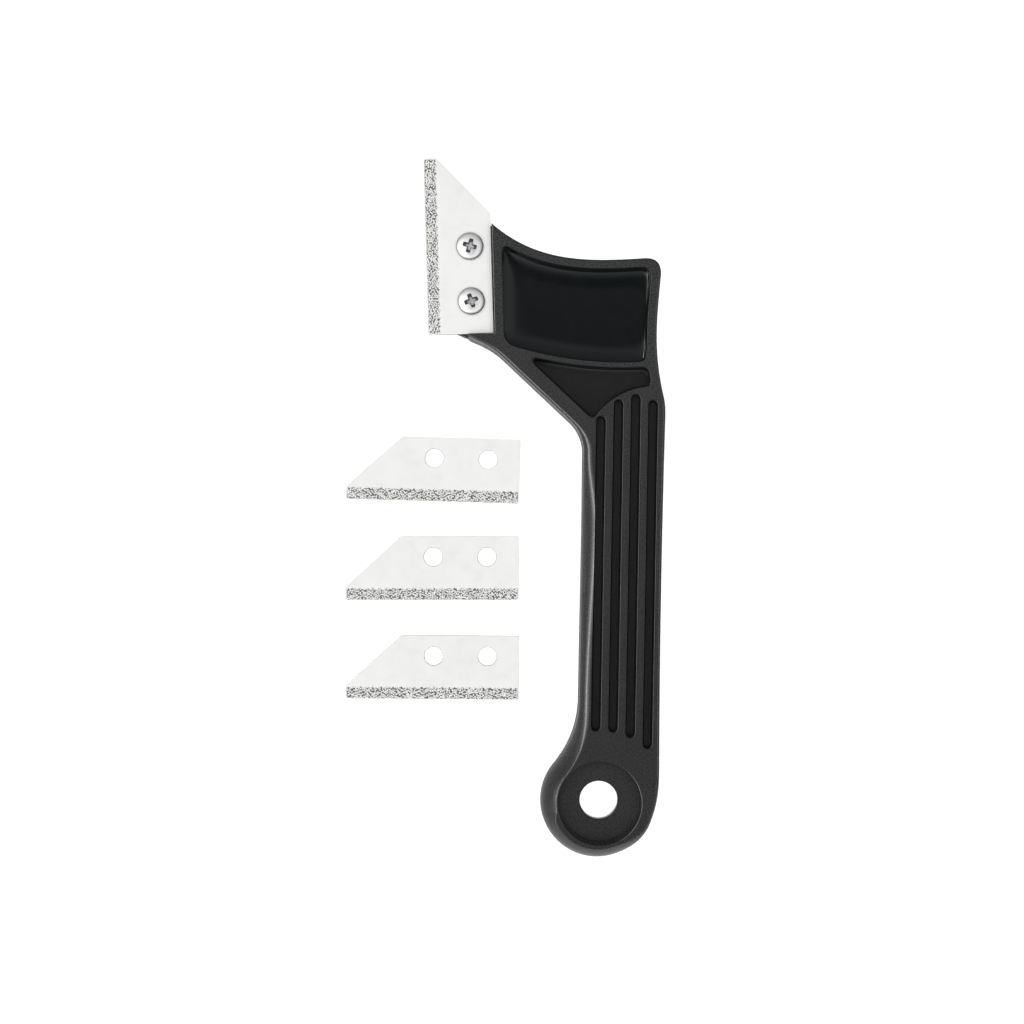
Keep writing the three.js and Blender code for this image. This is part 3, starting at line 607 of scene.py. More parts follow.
def add_scaled(tree, value, spread, low, high):
    """A number that goes from low to high as the value goes over its spread."""
    scaled = tree.nodes.new("ShaderNodeMapRange")
    scaled.inputs["From Min"].default_value, scaled.inputs["From Max"].default_value = spread
    scaled.inputs["To Min"].default_value = low
    scaled.inputs["To Max"].default_value = high
    tree.links.new(value, scaled.inputs["Value"])
    return scaled.outputs["Result"]


def add_math(tree, operation, *values):
    """The result of one operation on numbers."""
    step = tree.nodes.new("ShaderNodeMath")
    step.operation = operation
    for entry, value in zip(step.inputs, values):
        tree.links.new(value, entry)
    return step.outputs["Value"]


def add_roughness(tree, shader, noise, low, high, spread=(0.3, 0.7)):
    tree.links.new(add_scaled(tree, noise, spread, low, high), shader.inputs["Roughness"])


def add_tints(tree, value, socket, *tints):
    """Drives a colour with a number, from its low places to its high ones."""
    ramp = tree.nodes.new("ShaderNodeValToRGB")
    while len(ramp.color_ramp.elements) < len(tints):
        ramp.color_ramp.elements.new(0.5)
    for element, (place, tint) in zip(ramp.color_ramp.elements, tints):
        element.position = place
        element.color = (*tint, 1)
    tree.links.new(value, ramp.inputs["Fac"])
    tree.links.new(ramp.outputs["Color"], socket)


def add_shade_blend(tree, shader, share, shade_tint):
    """Blends the shader's colour towards a darker one by a share: painted shade."""
    tint = shader.inputs["Base Color"]
    bright = tint.links[0].from_socket
    blend = tree.nodes.new("ShaderNodeMix")
    blend.data_type = "RGBA"
    blend.inputs["B"].default_value = (*shade_tint, 1)
    tree.links.new(share, blend.inputs["Factor"])
    tree.links.new(bright, blend.inputs["A"])
    tree.links.new(blend.outputs["Result"], tint)


def add_shaded_sides(tree, shader, shade_tint, low, high):
    """Paints shade into the colour where the piece's own faces stand steeper than these rises of their
    normal.
    """
    coordinates = tree.nodes.new("ShaderNodeTexCoord")
    axes = tree.nodes.new("ShaderNodeSeparateXYZ")
    join(tree, (coordinates, "Normal", axes, "Vector"))
    rise = add_math(tree, "ABSOLUTE", axes.outputs["Z"])
    add_shade_blend(tree, shader, add_scaled(tree, rise, (high, low), 0, 1), shade_tint)


def add_bump(tree, shader, noise, depth, strength):
    bump = tree.nodes.new("ShaderNodeBump")
    bump.inputs["Strength"].default_value = strength
    bump.inputs["Distance"].default_value = depth
    tree.links.new(noise, bump.inputs["Height"])
    join(tree, (bump, "Normal", shader, "Normal"))


textured, tree, shader = new_finish("textured_black_plastic")
grain = add_noise(tree, scale=2600, detail=3)
cloud = add_noise(tree, scale=90, detail=3)
add_tints(tree, cloud, shader.inputs["Base Color"],
          (0.3, (0.016, 0.016, 0.0164)), (0.7, (0.020, 0.020, 0.0204)))
add_roughness(tree, shader, grain, low=0.25, high=0.3)
add_bump(tree, shader, grain, depth=0.00001, strength=0.1)
shader.inputs["Specular IOR Level"].default_value = 0.45

# Satin finish of the corner pocket and the grooves; its much darker colour is painted shade.
satin, tree, shader = new_finish("satin_shaded_black_plastic")
grain = add_noise(tree, scale=1800, detail=2)
add_tints(tree, grain, shader.inputs["Base Color"],
          (0.3, (0.0025, 0.0025, 0.0026)), (0.7, (0.0045, 0.0045, 0.0046)))
add_roughness(tree, shader, grain, low=0.28, high=0.36)
add_bump(tree, shader, grain, depth=0.00001, strength=0.3)
shader.inputs["Specular IOR Level"].default_value = 0.3

# Smooth finish of the head pocket; its much darker colour is painted shade.
smooth, tree, shader = new_finish("smooth_shaded_black_plastic")
ripple = add_noise(tree, scale=350, detail=2)
add_tints(tree, ripple, shader.inputs["Base Color"],
          (0.3, (0.0018, 0.0032, 0.0037)), (0.7, (0.0022, 0.0036, 0.0041)))
add_roughness(tree, shader, ripple, low=0.16, high=0.2)
add_bump(tree, shader, ripple, depth=0.00001, strength=0.1)
shader.inputs["Specular IOR Level"].default_value = 0.25

finishes = (textured, satin, smooth)
handle = made_piece("moulded_handle", handle_shell, finishes)
cut_away(handle, made_piece("hollows", hollows, finishes), made_piece("bores", bores, finishes),
         made_piece("nut_pockets", nut_pockets, finishes))
dress(handle, tool_place, crisp=35)
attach(handle, "handle")
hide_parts("handle")

# Nuts: two M4 hex nuts of zinc-plated steel, pressed up into hex pockets behind the blade seat.
# Their corners are turned off at both ends and the bore is tapped, with a countersunk lead-in.

PITCH = 0.7
NUT_CHAMFER = 30
NUT_BORE_RADIUS = 2.03
NUT_THREAD_DEPTH = 0.24
NUT_LEAD_IN = 2.4
NUT_LEVELS = 28
NUT_BORE_LEVELS = 40
NUT_STEPS = 96

screw_axes = {j["child"]: Vector(j["pos_m"]) for j in frame["joints"] if j["child"].endswith("_screw")}
along = screw_axes["upper_screw"] - screw_axes["lower_screw"]
seat_turn = math.atan2(along.y, along.x) - math.pi / 2


def add_ring_skin(shell, rings, closed):
    """Skins rings of equal length; closed joins the last ring to the first, as in a tube."""
    rows = [[shell.verts.new(corner) for corner in ring] for ring in rings]
    for k in range(0 if closed else 1, len(rows)):
        low, high = rows[k - 1], rows[k]
        for i in range(len(low)):
            shell.faces.new((low[i - 1], low[i], high[i], high[i - 1]))
    if not closed:
        shell.faces.new(rows[0][::-1])
        shell.faces.new(rows[-1])


def turned_ring(radius_at, z, steps):
    """A ring about the axis whose radius may change with the angle and the height."""
    ring = []
    for i in range(steps):
        degrees = 360 * i / steps
        corner = radius_at(degrees, z) * toward(degrees)
        ring.append((corner.real, corner.imag, z))
    return ring


def nut_side(degrees, z):
    across = NUT_FLATS / 2 / math.cos(math.radians(degrees % 60 - 30))
    cone = NUT_FLATS / 2 + min(z, NUT_THICKNESS - z) / math.tan(math.radians(NUT_CHAMFER))
    return min(across, cone)


def nut_bore(degrees, z):
    thread = 0.5 - 0.5 * math.cos(2 * math.pi * (z / PITCH - degrees / 360))
    lead_in = NUT_LEAD_IN - min(z, NUT_THICKNESS - z)
    return max(NUT_BORE_RADIUS + NUT_THREAD_DEPTH * thread, lead_in)


nut_rings = []
for i in range(NUT_LEVELS + 1):
    z = NUT_THICKNESS * (0.5 - 0.5 * math.cos(math.pi * i / NUT_LEVELS))
    nut_rings.append(turned_ring(nut_side, z, NUT_STEPS))
for i in range(NUT_BORE_LEVELS + 1):
    z = NUT_THICKNESS * (1 - i / NUT_BORE_LEVELS)
    nut_rings.append(turned_ring(nut_bore, z, NUT_STEPS))
nut_shell = bmesh.new()
add_ring_skin(nut_shell, nut_rings, True)


def zinc_plate(name, shaded_side):
    """Bright zinc with painted shade in a recess and on steep sides."""
    zinc, tree, shader = new_finish(name)
    streak = add_noise(tree, scale=900, detail=4, stretch=(1, 1, 0.2))
    add_tints(tree, streak, shader.inputs["Base Color"],
              (0.25, (0.82, 0.82, 0.83)), (0.75, (0.9, 0.9, 0.9)))
    # Painted shade: faces marked as recess and steep faces are darkened.
    sunk = tree.nodes.new("ShaderNodeAttribute")
    sunk.attribute_name = "recess"
    add_shade_blend(tree, shader, sunk.outputs["Fac"], shade_tint=(0.5, 0.5, 0.51))
    add_shaded_sides(tree, shader, shaded_side, low=0.5, high=0.85)
    add_roughness(tree, shader, streak, low=0.3, high=0.42)
    add_bump(tree, shader, streak, depth=0.00001, strength=0.25)
    shader.inputs["Metallic"].default_value = 0.85
    return zinc


def new_tree(name, *inputs):
    """A Geometry Nodes tree with named inputs; returns it with its input, output and socket names."""
    tree = bpy.data.node_groups.new(name, "GeometryNodeTree")
    tree.is_modifier = True
    tree.interface.new_socket("Geometry", in_out="OUTPUT", socket_type="NodeSocketGeometry")
    sockets = {}
    for label, kind in (("Geometry", "NodeSocketGeometry"), *inputs):
        sockets[label] = tree.interface.new_socket(label, in_out="INPUT", socket_type=kind).identifier
    return tree, tree.nodes.new("NodeGroupInput"), tree.nodes.new("NodeGroupOutput"), sockets


copies, source, result, copy_sockets = new_tree(
    "placed_copy", ("Place", "NodeSocketVector"), ("Turn", "NodeSocketFloat"),
    ("Finish", "NodeSocketMaterial"))
spot = copies.nodes.new("GeometryNodePoints")
turn = copies.nodes.new("ShaderNodeCombineXYZ")
copy = copies.nodes.new("GeometryNodeInstanceOnPoints")
realise = copies.nodes.new("GeometryNodeRealizeInstances")
coat = copies.nodes.new("GeometryNodeSetMaterial")
join(copies,
     (source, "Place", spot, "Position"),
     (source, "Turn", turn, "Z"),
     (spot, "Points", copy, "Points"),
     (source, "Geometry", copy, "Instance"),
     (turn, "Vector", copy, "Rotation"),
     (copy, "Instances", realise, "Geometry"),
     (realise, "Geometry", coat, "Geometry"),
     (source, "Finish", coat, "Material"),
     (coat, "Geometry", result, "Geometry"))


def placed_copy(name, master, place, turn, finish):
    """A copy of a master piece at its own place, as a plain mesh."""
    piece = bpy.data.objects.new(name, master.data.copy())
    bpy.context.scene.collection.objects.link(piece)
    step = piece.modifiers.new("place", "NODES")
    step.node_group = copies
    step[copy_sockets["Place"]] = place
    step[copy_sockets["Turn"]] = turn
    step[copy_sockets["Finish"]] = finish
    settle(piece)
    return piece


# The nuts' steep sides get painted shade.
zinc = zinc_plate("bright_zinc_plate", shaded_side=(0.62, 0.62, 0.63))
nut_master = made_piece("nut_master", nut_shell, (zinc,))
dress(nut_master, millimetres, crisp=30)
for body in ("upper_nut", "lower_nut"):
    axis = screw_axes[body.replace("nut", "screw")]
    nut = placed_copy("hex_" + body, nut_master, (axis.x, axis.y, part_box(body)[0].z), seat_turn, zinc)
    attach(nut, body)
    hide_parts(body)
bpy.data.objects.remove(nut_master)

# Blade: a strip of bright sheet steel, sheared with a slanted end and punched for two screws.
# It lies in the seat's step with its square end on the ledge. Its own frame has the cutting edge
# on x = 0, the square end on y = 0 and the underside on z = 0.

BLADE_LENGTH = 50
BLADE_WIDTH = 18.6
BLADE_THICKNESS = 1.2
BLADE_BACK_LENGTH = 34
BLADE_NOSE = 3.8
BLADE_EDGE = 0.1
BLADE_HOLE_SETBACK = 6
BLADE_HOLE_HEIGHTS = (9.2, 24.7)
BLADE_HOLE_RADIUS = 2.65
HOLE_LIP = 0.12
GRIT_COAT = 0.45

plate_corners = (
    (complex(GRIT_COAT, 0), 0.2),
    (complex(BLADE_WIDTH, 0), 0.3),
    (complex(BLADE_WIDTH, BLADE_BACK_LENGTH), 0.3),
    (complex(BLADE_NOSE, BLADE_LENGTH), 0.4),
    (complex(GRIT_COAT, BLADE_LENGTH), 0.2),
)
CORNER_STEPS = 8
sheared = []
for i, (corner, radius) in enumerate(plate_corners):
    after = plate_corners[(i + 1) % len(plate_corners)][0]
    ease = rounded(plate_corners[i - 1][0], corner, after, radius)
    sheared += [ease(step / CORNER_STEPS) for step in range(CORNER_STEPS + 1)]
way_in = inward_of(sheared)
edge = [(BLADE_EDGE * (1 - math.sin(a)), BLADE_EDGE * (1 - math.cos(a))) for a in quarter(steps=4)]
section = [(z, inset) for z, inset in reversed(edge)] + [(BLADE_THICKNESS - z, inset) for z, inset in edge]
plate_shell = bmesh.new()
add_loft(plate_shell, [at_height([p + w * inset for p, w in zip(sheared, way_in)], z)
                       for z, inset in section])
hole_levels = [(-OVERCUT, HOLE_LIP), (0, HOLE_LIP), (HOLE_LIP, 0),
               (BLADE_THICKNESS - 0.14, 0), (BLADE_THICKNESS - 0.08, 0.03),
               (BLADE_THICKNESS, HOLE_LIP), (BLADE_THICKNESS + OVERCUT, HOLE_LIP)]
punches = bmesh.new()
blade_holes = [complex(BLADE_WIDTH - BLADE_HOLE_SETBACK, height) for height in BLADE_HOLE_HEIGHTS]
for hole in blade_holes:
    add_loft(punches, [at_height(circle(hole, BLADE_HOLE_RADIUS + grow, steps=64), z)
                       for z, grow in hole_levels])

sheet_steel, tree, shader = new_finish("bright_sheet_steel")
mottle = add_noise(tree, scale=260, detail=5)
scuff = add_noise(tree, scale=420, detail=4, stretch=(0.6, 1, 1))
add_tints(tree, mottle, shader.inputs["Base Color"],
          (0.3, (0.92, 0.92, 0.91)), (0.5, (0.955, 0.955, 0.945)), (0.7, (0.97, 0.97, 0.96)))
# Painted shade: the plate's steep edges and hole walls are darkened.
add_shaded_sides(tree, shader, shade_tint=(0.35, 0.35, 0.35), low=0.5, high=0.9)
add_roughness(tree, shader, scuff, low=0.34, high=0.5)
add_bump(tree, shader, mottle, depth=0.00002, strength=0.3)
shader.inputs["Metallic"].default_value = 0.2

plate_master = made_piece("plate_master", plate_shell, (sheet_steel,))
cut_away(plate_master, made_piece("punches", punches, (sheet_steel,)))
dress(plate_master, millimetres, crisp=35)
lower_axis = complex(screw_axes["lower_screw"].x, screw_axes["lower_screw"].y)
blade_origin = lower_axis - MILLIMETRE * blade_holes[0] * cmath.rect(1, seat_turn)
blade_place = (blade_origin.real, blade_origin.imag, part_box("blade_plate")[0].z)
blade_plate = placed_copy("mounted_blade_plate", plate_master, blade_place, seat_turn, sheet_steel)
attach(blade_plate, "blade")
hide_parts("blade_plate")

# Grit: crushed carbide grains brazed round the blade's cutting edge, on both faces and over the
# edge itself. The braze is a thin ragged skin; the grains stand out of it at all angles.

GRIT_WIDTH = 3.9
RAGGED_SETBACK = 0.45
RAGGED_SWING = 0.35
BRAZE = 0.06
BRAZE_EDGE = 0.1
BRAZE_GAP = 0.02
BRAZE_END = 0.4
BRAZE_STEPS = 100
GRAIN = 0.42
GRAIN_SPACING = 0.5
GRAIN_LEAST = 0.66
GRAIN_MOST = 0.94
GRAIN_DENSITY = 3e7
DARKEST_GRAIN = 0.25


def ragged_edge(y):
    return GRIT_WIDTH - RAGGED_SETBACK - RAGGED_SWING * math.sin(2.1 * y) * math.sin(5.3 * y + 1)


braze_low, braze_high = -BRAZE, BLADE_THICKNESS + BRAZE
braze_front = GRIT_COAT - BRAZE
slot = GRIT_COAT - BRAZE_GAP
braze_rings = []
for step in range(BRAZE_STEPS + 1):
    y = BRAZE_END + (BLADE_LENGTH - 2 * BRAZE_END) * step / BRAZE_STEPS
    inner = ragged_edge(y)
    section = [(inner, braze_high), (braze_front + BRAZE_EDGE, braze_high),
               (braze_front, braze_high - BRAZE_EDGE), (braze_front, braze_low + BRAZE_EDGE),
               (braze_front + BRAZE_EDGE, braze_low), (inner, braze_low),
               (inner, -BRAZE_GAP), (slot, -BRAZE_GAP),
               (slot, BLADE_THICKNESS + BRAZE_GAP), (inner, BLADE_THICKNESS + BRAZE_GAP)]
    braze_rings.append([(x, y, z) for x, z in section])
braze_shell = bmesh.new()
add_ring_skin(braze_shell, braze_rings, False)
bmesh.ops.recalc_face_normals(braze_shell, faces=braze_shell.faces)

# Grains lie on both sides, on the front and on the upper bevel; the lower bevel and the ends stay bare.
coated = braze_shell.faces.layers.float.new("coated")
for face in braze_shell.faces:
    middle = face.calc_center_median()
    on_sides = middle.z > BLADE_THICKNESS or middle.z < -0.75 * BRAZE_GAP
    on_front = middle.x < braze_front + BRAZE_GAP / 2
    face[coated] = 1.0 if (on_sides or on_front) and abs(face.normal.y) < 0.5 else 0.0
bmesh.ops.transform(braze_shell, matrix=millimetres, verts=braze_shell.verts)

carbide, tree, shader = new_finish("brazed_carbide_grit")
shade = tree.nodes.new("ShaderNodeAttribute")
shade.attribute_name = "grain_shade"
facet = add_noise(tree, scale=1900, detail=2)
# The braze, which has no grain tone, is painted near black as painted shade between the grains; the grains
# are near white.
add_tints(tree, shade.outputs["Fac"], shader.inputs["Base Color"],
          (0.0, (0.15, 0.15, 0.15)), (0.25, (0.98, 0.98, 0.97)), (1.0, (1.0, 1.0, 0.98)))
add_roughness(tree, shader, facet, low=0.2, high=0.45)
shader.inputs["Metallic"].default_value = 0.15

grit_tree, source, result, grit_sockets = new_tree(
    "brazed_grains", ("Spacing", "NodeSocketFloat"), ("Grain", "NodeSocketFloat"),
    ("Seed", "NodeSocketInt"), ("Finish", "NodeSocketMaterial"))
scatter = grit_tree.nodes.new("GeometryNodeDistributePointsOnFaces")
scatter.distribute_method = "POISSON"
scatter.inputs["Density Max"].default_value = GRAIN_DENSITY
mask = grit_tree.nodes.new("GeometryNodeInputNamedAttribute")
mask.data_type = "FLOAT"
mask.inputs["Name"].default_value = "coated"
crystal = grit_tree.nodes.new("GeometryNodeMeshIcoSphere")
flat = grit_tree.nodes.new("GeometryNodeSetShadeSmooth")
flat.inputs["Shade Smooth"].default_value = False
lie = grit_tree.nodes.new("FunctionNodeRandomValue")
lie.data_type = "FLOAT_VECTOR"
lie.inputs["Max"].default_value = (2 * math.pi,) * 3
size = grit_tree.nodes.new("FunctionNodeRandomValue")
size.data_type = "FLOAT_VECTOR"
size.inputs["Min"].default_value = (GRAIN_LEAST,) * 3
size.inputs["Max"].default_value = (GRAIN_MOST,) * 3
tone = grit_tree.nodes.new("FunctionNodeRandomValue")
tone.data_type = "FLOAT"
tone.inputs["Min"].default_value = DARKEST_GRAIN
sow = grit_tree.nodes.new("GeometryNodeInstanceOnPoints")
mark = grit_tree.nodes.new("GeometryNodeStoreNamedAttribute")
mark.data_type = "FLOAT"
mark.domain = "INSTANCE"
mark.inputs["Name"].default_value = "grain_shade"
realise = grit_tree.nodes.new("GeometryNodeRealizeInstances")
together = grit_tree.nodes.new("GeometryNodeJoinGeometry")
coat = grit_tree.nodes.new("GeometryNodeSetMaterial")
join(grit_tree,
     (source, "Geometry", scatter, "Mesh"),
     (source, "Spacing", scatter, "Distance Min"),
     (source, "Seed", scatter, "Seed"),
     (mask, "Attribute", scatter, "Density Factor"),
     (source, "Grain", crystal, "Radius"),
     (crystal, "Mesh", flat, "Geometry"),
     (source, "Seed", lie, "Seed"),
     (source, "Seed", size, "Seed"),
     (source, "Seed", tone, "Seed"),
     (scatter, "Points", sow, "Points"),
     (flat, "Geometry", sow, "Instance"),
     (lie, "Value", sow, "Rotation"),
     (size, "Value", sow, "Scale"),
     (sow, "Instances", mark, "Geometry"),
     (tone, "Value", mark, "Value"),
     (mark, "Geometry", together, "Geometry"),
     (source, "Geometry", together, "Geometry"),
     (together, "Geometry", realise, "Geometry"),
     (realise, "Geometry", coat, "Geometry"),
     (source, "Finish", coat, "Material"),
     (coat, "Geometry", result, "Geometry"))

braze_master = made_piece("braze_master", braze_shell, (carbide,))


def brazed_grit(name, place, turn, seed):
    """One blade's grit, grown on the braze and put in its place."""
    piece = bpy.data.objects.new(name, braze_master.data.copy())
    bpy.context.scene.collection.objects.link(piece)
    grow = piece.modifiers.new("grains", "NODES")
    grow.node_group = grit_tree
    grow[grit_sockets["Spacing"]] = MILLIMETRE * GRAIN_SPACING
    grow[grit_sockets["Grain"]] = MILLIMETRE * GRAIN
    grow[grit_sockets["Seed"]] = seed
    grow[grit_sockets["Finish"]] = carbide
    settle(piece)
    piece.data.transform(Matrix.Translation(place) @ Matrix.Rotation(turn, 4, "Z"))
    return piece


blade_grit = brazed_grit("mounted_blade_grit", blade_place, seat_turn, seed=3)
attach(blade_grit, "blade")
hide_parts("blade_grit")

# Screws: two M4 pan-head machine screws, cold-headed with a cross recess, rolled thread and zinc
# plate. They pass through the blade and the tongue into the nuts behind it.

HEAD_RADIUS = 3.85
HEAD_HEIGHT = 2.5
HEAD_DOME = 1.2
HEAD_EDGE = 0.25
SHANK_RADIUS = 1.95
SHANK_LENGTH = 8
SHANK_POINT = 0.45
SHANK_LEVELS = 120
SCREW_STEPS = 64
THREAD_DEPTH = 0.43
THREAD_START = 0.5
THREAD_RUN_IN = 0.6
THREAD_FLANK = 1.25
RECESS_ARM = 2.1
RECESS_HALF = 0.62
RECESS_ROUND = 0.22
RECESS_BULGE = 0.06
RECESS_TIP_SIDE = 0.12
RECESS_TIP_END = 0.2
DOME_SKIN = 0.03
SCREW_TURNS = (("upper_screw", -16.4), ("lower_screw", 19.6))


def shank_side(degrees, z):
    depth = THREAD_DEPTH * min(1, max(0, (-z - THREAD_START) / THREAD_RUN_IN))
    ridge = abs(2 * ((z / PITCH - degrees / 360) % 1) - 1)
    point = SHANK_RADIUS - max(0, SHANK_POINT - (z + SHANK_LENGTH))
    return min(SHANK_RADIUS - depth * (1 - min(1, THREAD_FLANK * ridge)), point)


screw_rings = []
for i in range(SHANK_LEVELS + 1):
    screw_rings.append(turned_ring(shank_side, SHANK_LENGTH * i / SHANK_LEVELS - SHANK_LENGTH, SCREW_STEPS))
head_outline = [(HEAD_RADIUS - HEAD_EDGE * (1 - math.sin(a)), HEAD_EDGE * (1 - math.cos(a)))
                for a in quarter(steps=4)]
head_outline += [(HEAD_RADIUS * math.cos(a), HEAD_HEIGHT - HEAD_DOME * (1 - math.sin(a)))
                 for a in quarter(steps=18)[:-1]]
screw_rings += [at_height(circle(0, radius, SCREW_STEPS), z) for radius, z in head_outline]
screw_shell = bmesh.new()
add_ring_skin(screw_shell, screw_rings, False)

inner_corner = complex(RECESS_HALF, RECESS_HALF)
quadrant = [inner_corner + RECESS_ROUND,
            inner_corner + complex(RECESS_BULGE, RECESS_BULGE),
            inner_corner + 1j * RECESS_ROUND,
            complex(RECESS_HALF, RECESS_ARM - RECESS_TIP_END),
            complex(RECESS_HALF - RECESS_TIP_SIDE, RECESS_ARM),
            complex(RECESS_TIP_SIDE - RECESS_HALF, RECESS_ARM),
            complex(-RECESS_HALF, RECESS_ARM - RECESS_TIP_END)]
recess = [corner * toward(90 * k) for k in range(4) for corner in quadrant]

# Heights of the recess, and its share of the full width there.
recess_levels = [(HEAD_HEIGHT - 1.5, 0.15), (HEAD_HEIGHT - 1.42, 0.55), (HEAD_HEIGHT - 0.05, 1),
                 (HEAD_HEIGHT + 0.5, 1.1)]
recess_shell = bmesh.new()
add_loft(recess_shell, [at_height([corner * taper for corner in recess], z) for z, taper in recess_levels])

# The screws' steep sides get deep painted shade, and their recess gets painted shade too.
deep_shaded_zinc = zinc_plate("deep_shaded_zinc_plate", shaded_side=(0.2, 0.2, 0.21))
screw_master = made_piece("screw_master", screw_shell, (deep_shaded_zinc,))
cut_away(screw_master, made_piece("recess", recess_shell, (deep_shaded_zinc,)))
# Marks the recess faces that get painted shade.
sunk = screw_master.data.attributes.new("recess", "FLOAT", "FACE")
for face in screw_master.data.polygons:
    reach = math.hypot(face.center.x, face.center.y)
    dome = HEAD_HEIGHT - HEAD_DOME + HEAD_DOME * math.sqrt(max(0, 1 - (reach / HEAD_RADIUS) ** 2))
    sunk.data[face.index].value = 0 < face.center.z < dome - DOME_SKIN and reach < RECESS_ARM
dress(screw_master, millimetres, crisp=32)
for body, turned in SCREW_TURNS:
    screw = placed_copy("blade_" + body, screw_master, screw_axes[body], math.radians(turned), deep_shaded_zinc)
    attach(screw, body)
    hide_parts(body)
bpy.data.objects.remove(screw_master)

# Spare blades: three more of the same blade, lying loose in a column on the front side of the
# handle, each turned a little from its neighbour.

# Each spare's height above the hang hole, its lean, and the seed of its grains.
SPARE_ACROSS = -22.6
SPARES = (("spare_blade_1", 84, -1.6, 11), ("spare_blade_2", 56.2, 0, 18), ("spare_blade_3", 27.4, -0.5, 25))

for body, height, lean, seed in SPARES:
    place = hang_centre + MILLIMETRE * Vector((SPARE_ACROSS, height, 0))
    place.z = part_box(body + "_plate")[0].z
    turn = math.radians(90 + lean)
    spare_plate = placed_copy(body + "_sheet", plate_master, place, turn, sheet_steel)
    spare_grit = brazed_grit(body + "_coat", place, turn, seed)
    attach(spare_plate, body)
    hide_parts(body + "_plate")
    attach(spare_grit, body)
    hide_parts(body + "_grit")
bpy.data.objects.remove(plate_master)
bpy.data.objects.remove(braze_master)

# Table, light and camera: everything lies on a white table under one broad lamp that gives the even
# light. A white tent, dark overhead, is what the surfaces mirror, and three strips on the left and
# a weak one on the right draw the bright lines along the handle's edges.

# The table's own glow and where it changes: with the distance from the middle as it is seen, and
# towards the knob's end as it is mirrored.
TABLE_SIZE = 3
TABLE_DROP = 0.0001
SEEN_GLOW = (0.75, 1.0)
SEEN_FADE = (0.2, 0.7)
MIRRORED_GLOW = (0.0, 0.65)
MIRRORED_FADE = (-0.09, -0.14)

table_shell = bmesh.new()
bmesh.ops.create_grid(table_shell, x_segments=1, y_segments=1, size=TABLE_SIZE)
bmesh.ops.translate(table_shell, vec=(0, 0, -TABLE_DROP), verts=table_shell.verts)
paper, tree, shader = new_finish("white_table")
seen = tree.nodes.new("ShaderNodeLightPath")
spot = tree.nodes.new("ShaderNodeTexCoord")
axes = tree.nodes.new("ShaderNodeSeparateXYZ")
away = tree.nodes.new("ShaderNodeVectorMath")
away.operation = "LENGTH"
glow = tree.nodes.new("ShaderNodeMix")
join(tree, (spot, "Object", away, 0), (spot, "Object", axes, "Vector"),
     (seen, "Is Glossy Ray", glow, "Factor"))
tree.links.new(add_scaled(tree, away.outputs["Value"], SEEN_FADE, *SEEN_GLOW), glow.inputs["A"])
tree.links.new(add_scaled(tree, axes.outputs["Y"], MIRRORED_FADE, *MIRRORED_GLOW), glow.inputs["B"])
mirrored = add_math(tree, "ADD", seen.outputs["Is Glossy Ray"], seen.outputs["Is Transmission Ray"])
shown = add_math(tree, "ADD", seen.outputs["Is Camera Ray"], mirrored)
lit = add_math(tree, "MULTIPLY", shown, glow.outputs["Result"])
tree.links.new(lit, shader.inputs["Emission Strength"])
shader.inputs["Base Color"].default_value = (0.85, 0.85, 0.85, 1)
shader.inputs["Emission Color"].default_value = (1, 1, 1, 1)
shader.inputs["Roughness"].default_value = 0.9
shader.inputs["Specular IOR Level"].default_value = 0
table = made_piece("white_table", table_shell, (paper,))

# Rise towards the tent's top, and its brightness there. It is dim low at the front and at the back,
# and brighter on the left.
TENT_TOP = (0, -0.15, 0.989)
TENT_BANDS = ((0.0, 0.25), (0.4, 0.3), (0.6, 0.65), (0.75, 0.85), (0.87, 0.75), (0.95, 0.25), (0.985, 0.07))
TENT_STRENGTH = 2.3
BACKDROP = 0.435

world = bpy.data.worlds.new("white_tent")
bpy.context.scene.world = world
world.use_nodes = True
world.cycles_visibility.diffuse = False
tree = world.node_tree
shine = tree.nodes["Background"]
shine.inputs["Strength"].default_value = TENT_STRENGTH
seen = tree.nodes.new("ShaderNodeLightPath")
way = tree.nodes.new("ShaderNodeTexCoord")
axes = tree.nodes.new("ShaderNodeSeparateXYZ")
height = tree.nodes.new("ShaderNodeVectorMath")
height.operation = "DOT_PRODUCT"
height.inputs[1].default_value = TENT_TOP
tent = tree.nodes.new("ShaderNodeVectorMath")
tent.operation = "SCALE"
backdrop = tree.nodes.new("ShaderNodeMix")
backdrop.data_type = "RGBA"
backdrop.inputs["B"].default_value = (BACKDROP, BACKDROP, BACKDROP, 1)
join(tree, (way, "Generated", height, 0), (way, "Generated", axes, "Vector"),
     (tent, "Vector", backdrop, "A"), (backdrop, "Result", shine, "Color"))
add_tints(tree, height.outputs["Value"], tent.inputs[0],
          *((place, (tone, tone, tone)) for place, tone in TENT_BANDS))
front = add_scaled(tree, axes.outputs["Y"], (-0.85, -0.6), 0.25, 1)
beside = add_scaled(tree, axes.outputs["X"], (-0.8, 0.8), 1.5, 0.5)
back = add_scaled(tree, axes.outputs["Y"], (0.1, 0.45), 1, 0.4)
share = add_math(tree, "MULTIPLY", add_math(tree, "MULTIPLY", front, beside), back)
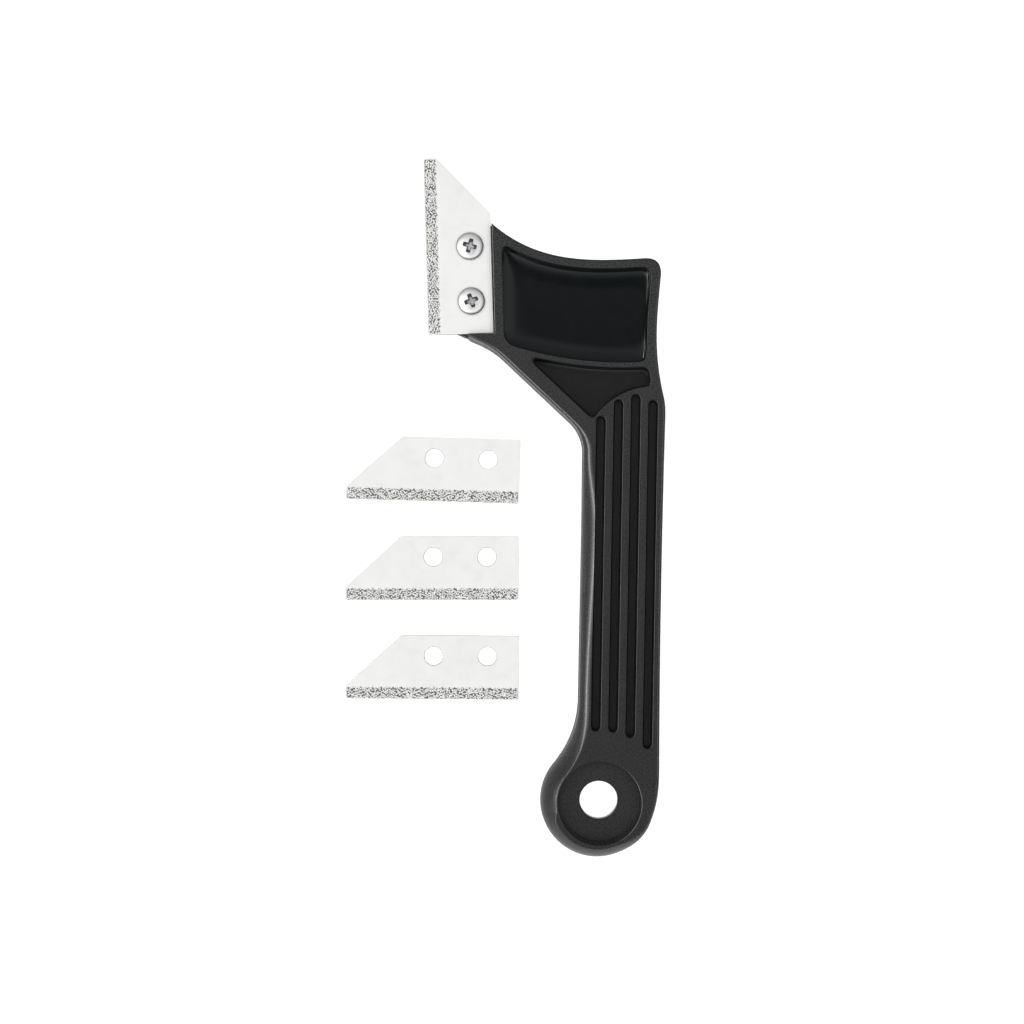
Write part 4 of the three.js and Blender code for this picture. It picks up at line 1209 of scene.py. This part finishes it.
tree.links.new(share, tent.inputs["Scale"])
plain = add_math(tree, "ADD", seen.outputs["Is Camera Ray"], seen.outputs["Is Transmission Ray"])
tree.links.new(plain, backdrop.inputs["Factor"])

# The lamp over the middle, and the bearing and radiance of each strip.
LAMP_SIZE = 0.6
LAMP_HEIGHT = 0.9
LAMP_RADIANCE = 6.6
STRIP_SIZE = (0.41, 0.19)
STRIP_REACH = 0.67
STRIP_HEIGHT = 0.436
STRIPS = ((147.5, 13), (182.5, 13), (217.5, 13), (0, 4))

overhead = bpy.data.objects.new("overhead", bpy.data.lights.new("overhead", "AREA"))
overhead.data.size = LAMP_SIZE
overhead.data.energy = LAMP_RADIANCE * math.pi * LAMP_SIZE ** 2
overhead.location = (0, 0, LAMP_HEIGHT)
overhead.visible_camera = False
overhead.visible_glossy = False
bpy.context.scene.collection.objects.link(overhead)

edge_lit = bpy.data.collections.new("edge_lit")
edge_lit.objects.link(handle)
for bearing, radiance in STRIPS:
    light = bpy.data.lights.new("strip", "AREA")
    light.shape = "RECTANGLE"
    light.size, light.size_y = STRIP_SIZE
    light.energy = radiance * math.pi * light.size * light.size_y
    strip = bpy.data.objects.new("strip", light)
    foot = STRIP_REACH * toward(bearing)
    place = Vector((foot.real, foot.imag, STRIP_HEIGHT))
    strip.matrix_world = Matrix.Translation(place) @ (-place).to_track_quat("-Z", "Y").to_matrix().to_4x4()
    strip.visible_camera = False
    strip.visible_diffuse = False
    strip.light_linking.receiver_collection = edge_lit
    bpy.context.scene.collection.objects.link(strip)

CAMERA_ACROSS = -0.02459
CAMERA_ALONG = 0.08174
CAMERA_HEIGHT = 0.589

camera = bpy.data.objects.new("camera", bpy.data.cameras.new("camera"))
camera.location = (hang_centre.x + CAMERA_ACROSS, hang_centre.y + CAMERA_ALONG, CAMERA_HEIGHT)
camera.data.lens = 71.65
camera.data.sensor_width = 36
bpy.context.scene.collection.objects.link(camera)
bpy.context.scene.camera = camera
bpy.context.scene.view_settings.view_transform = "Standard"
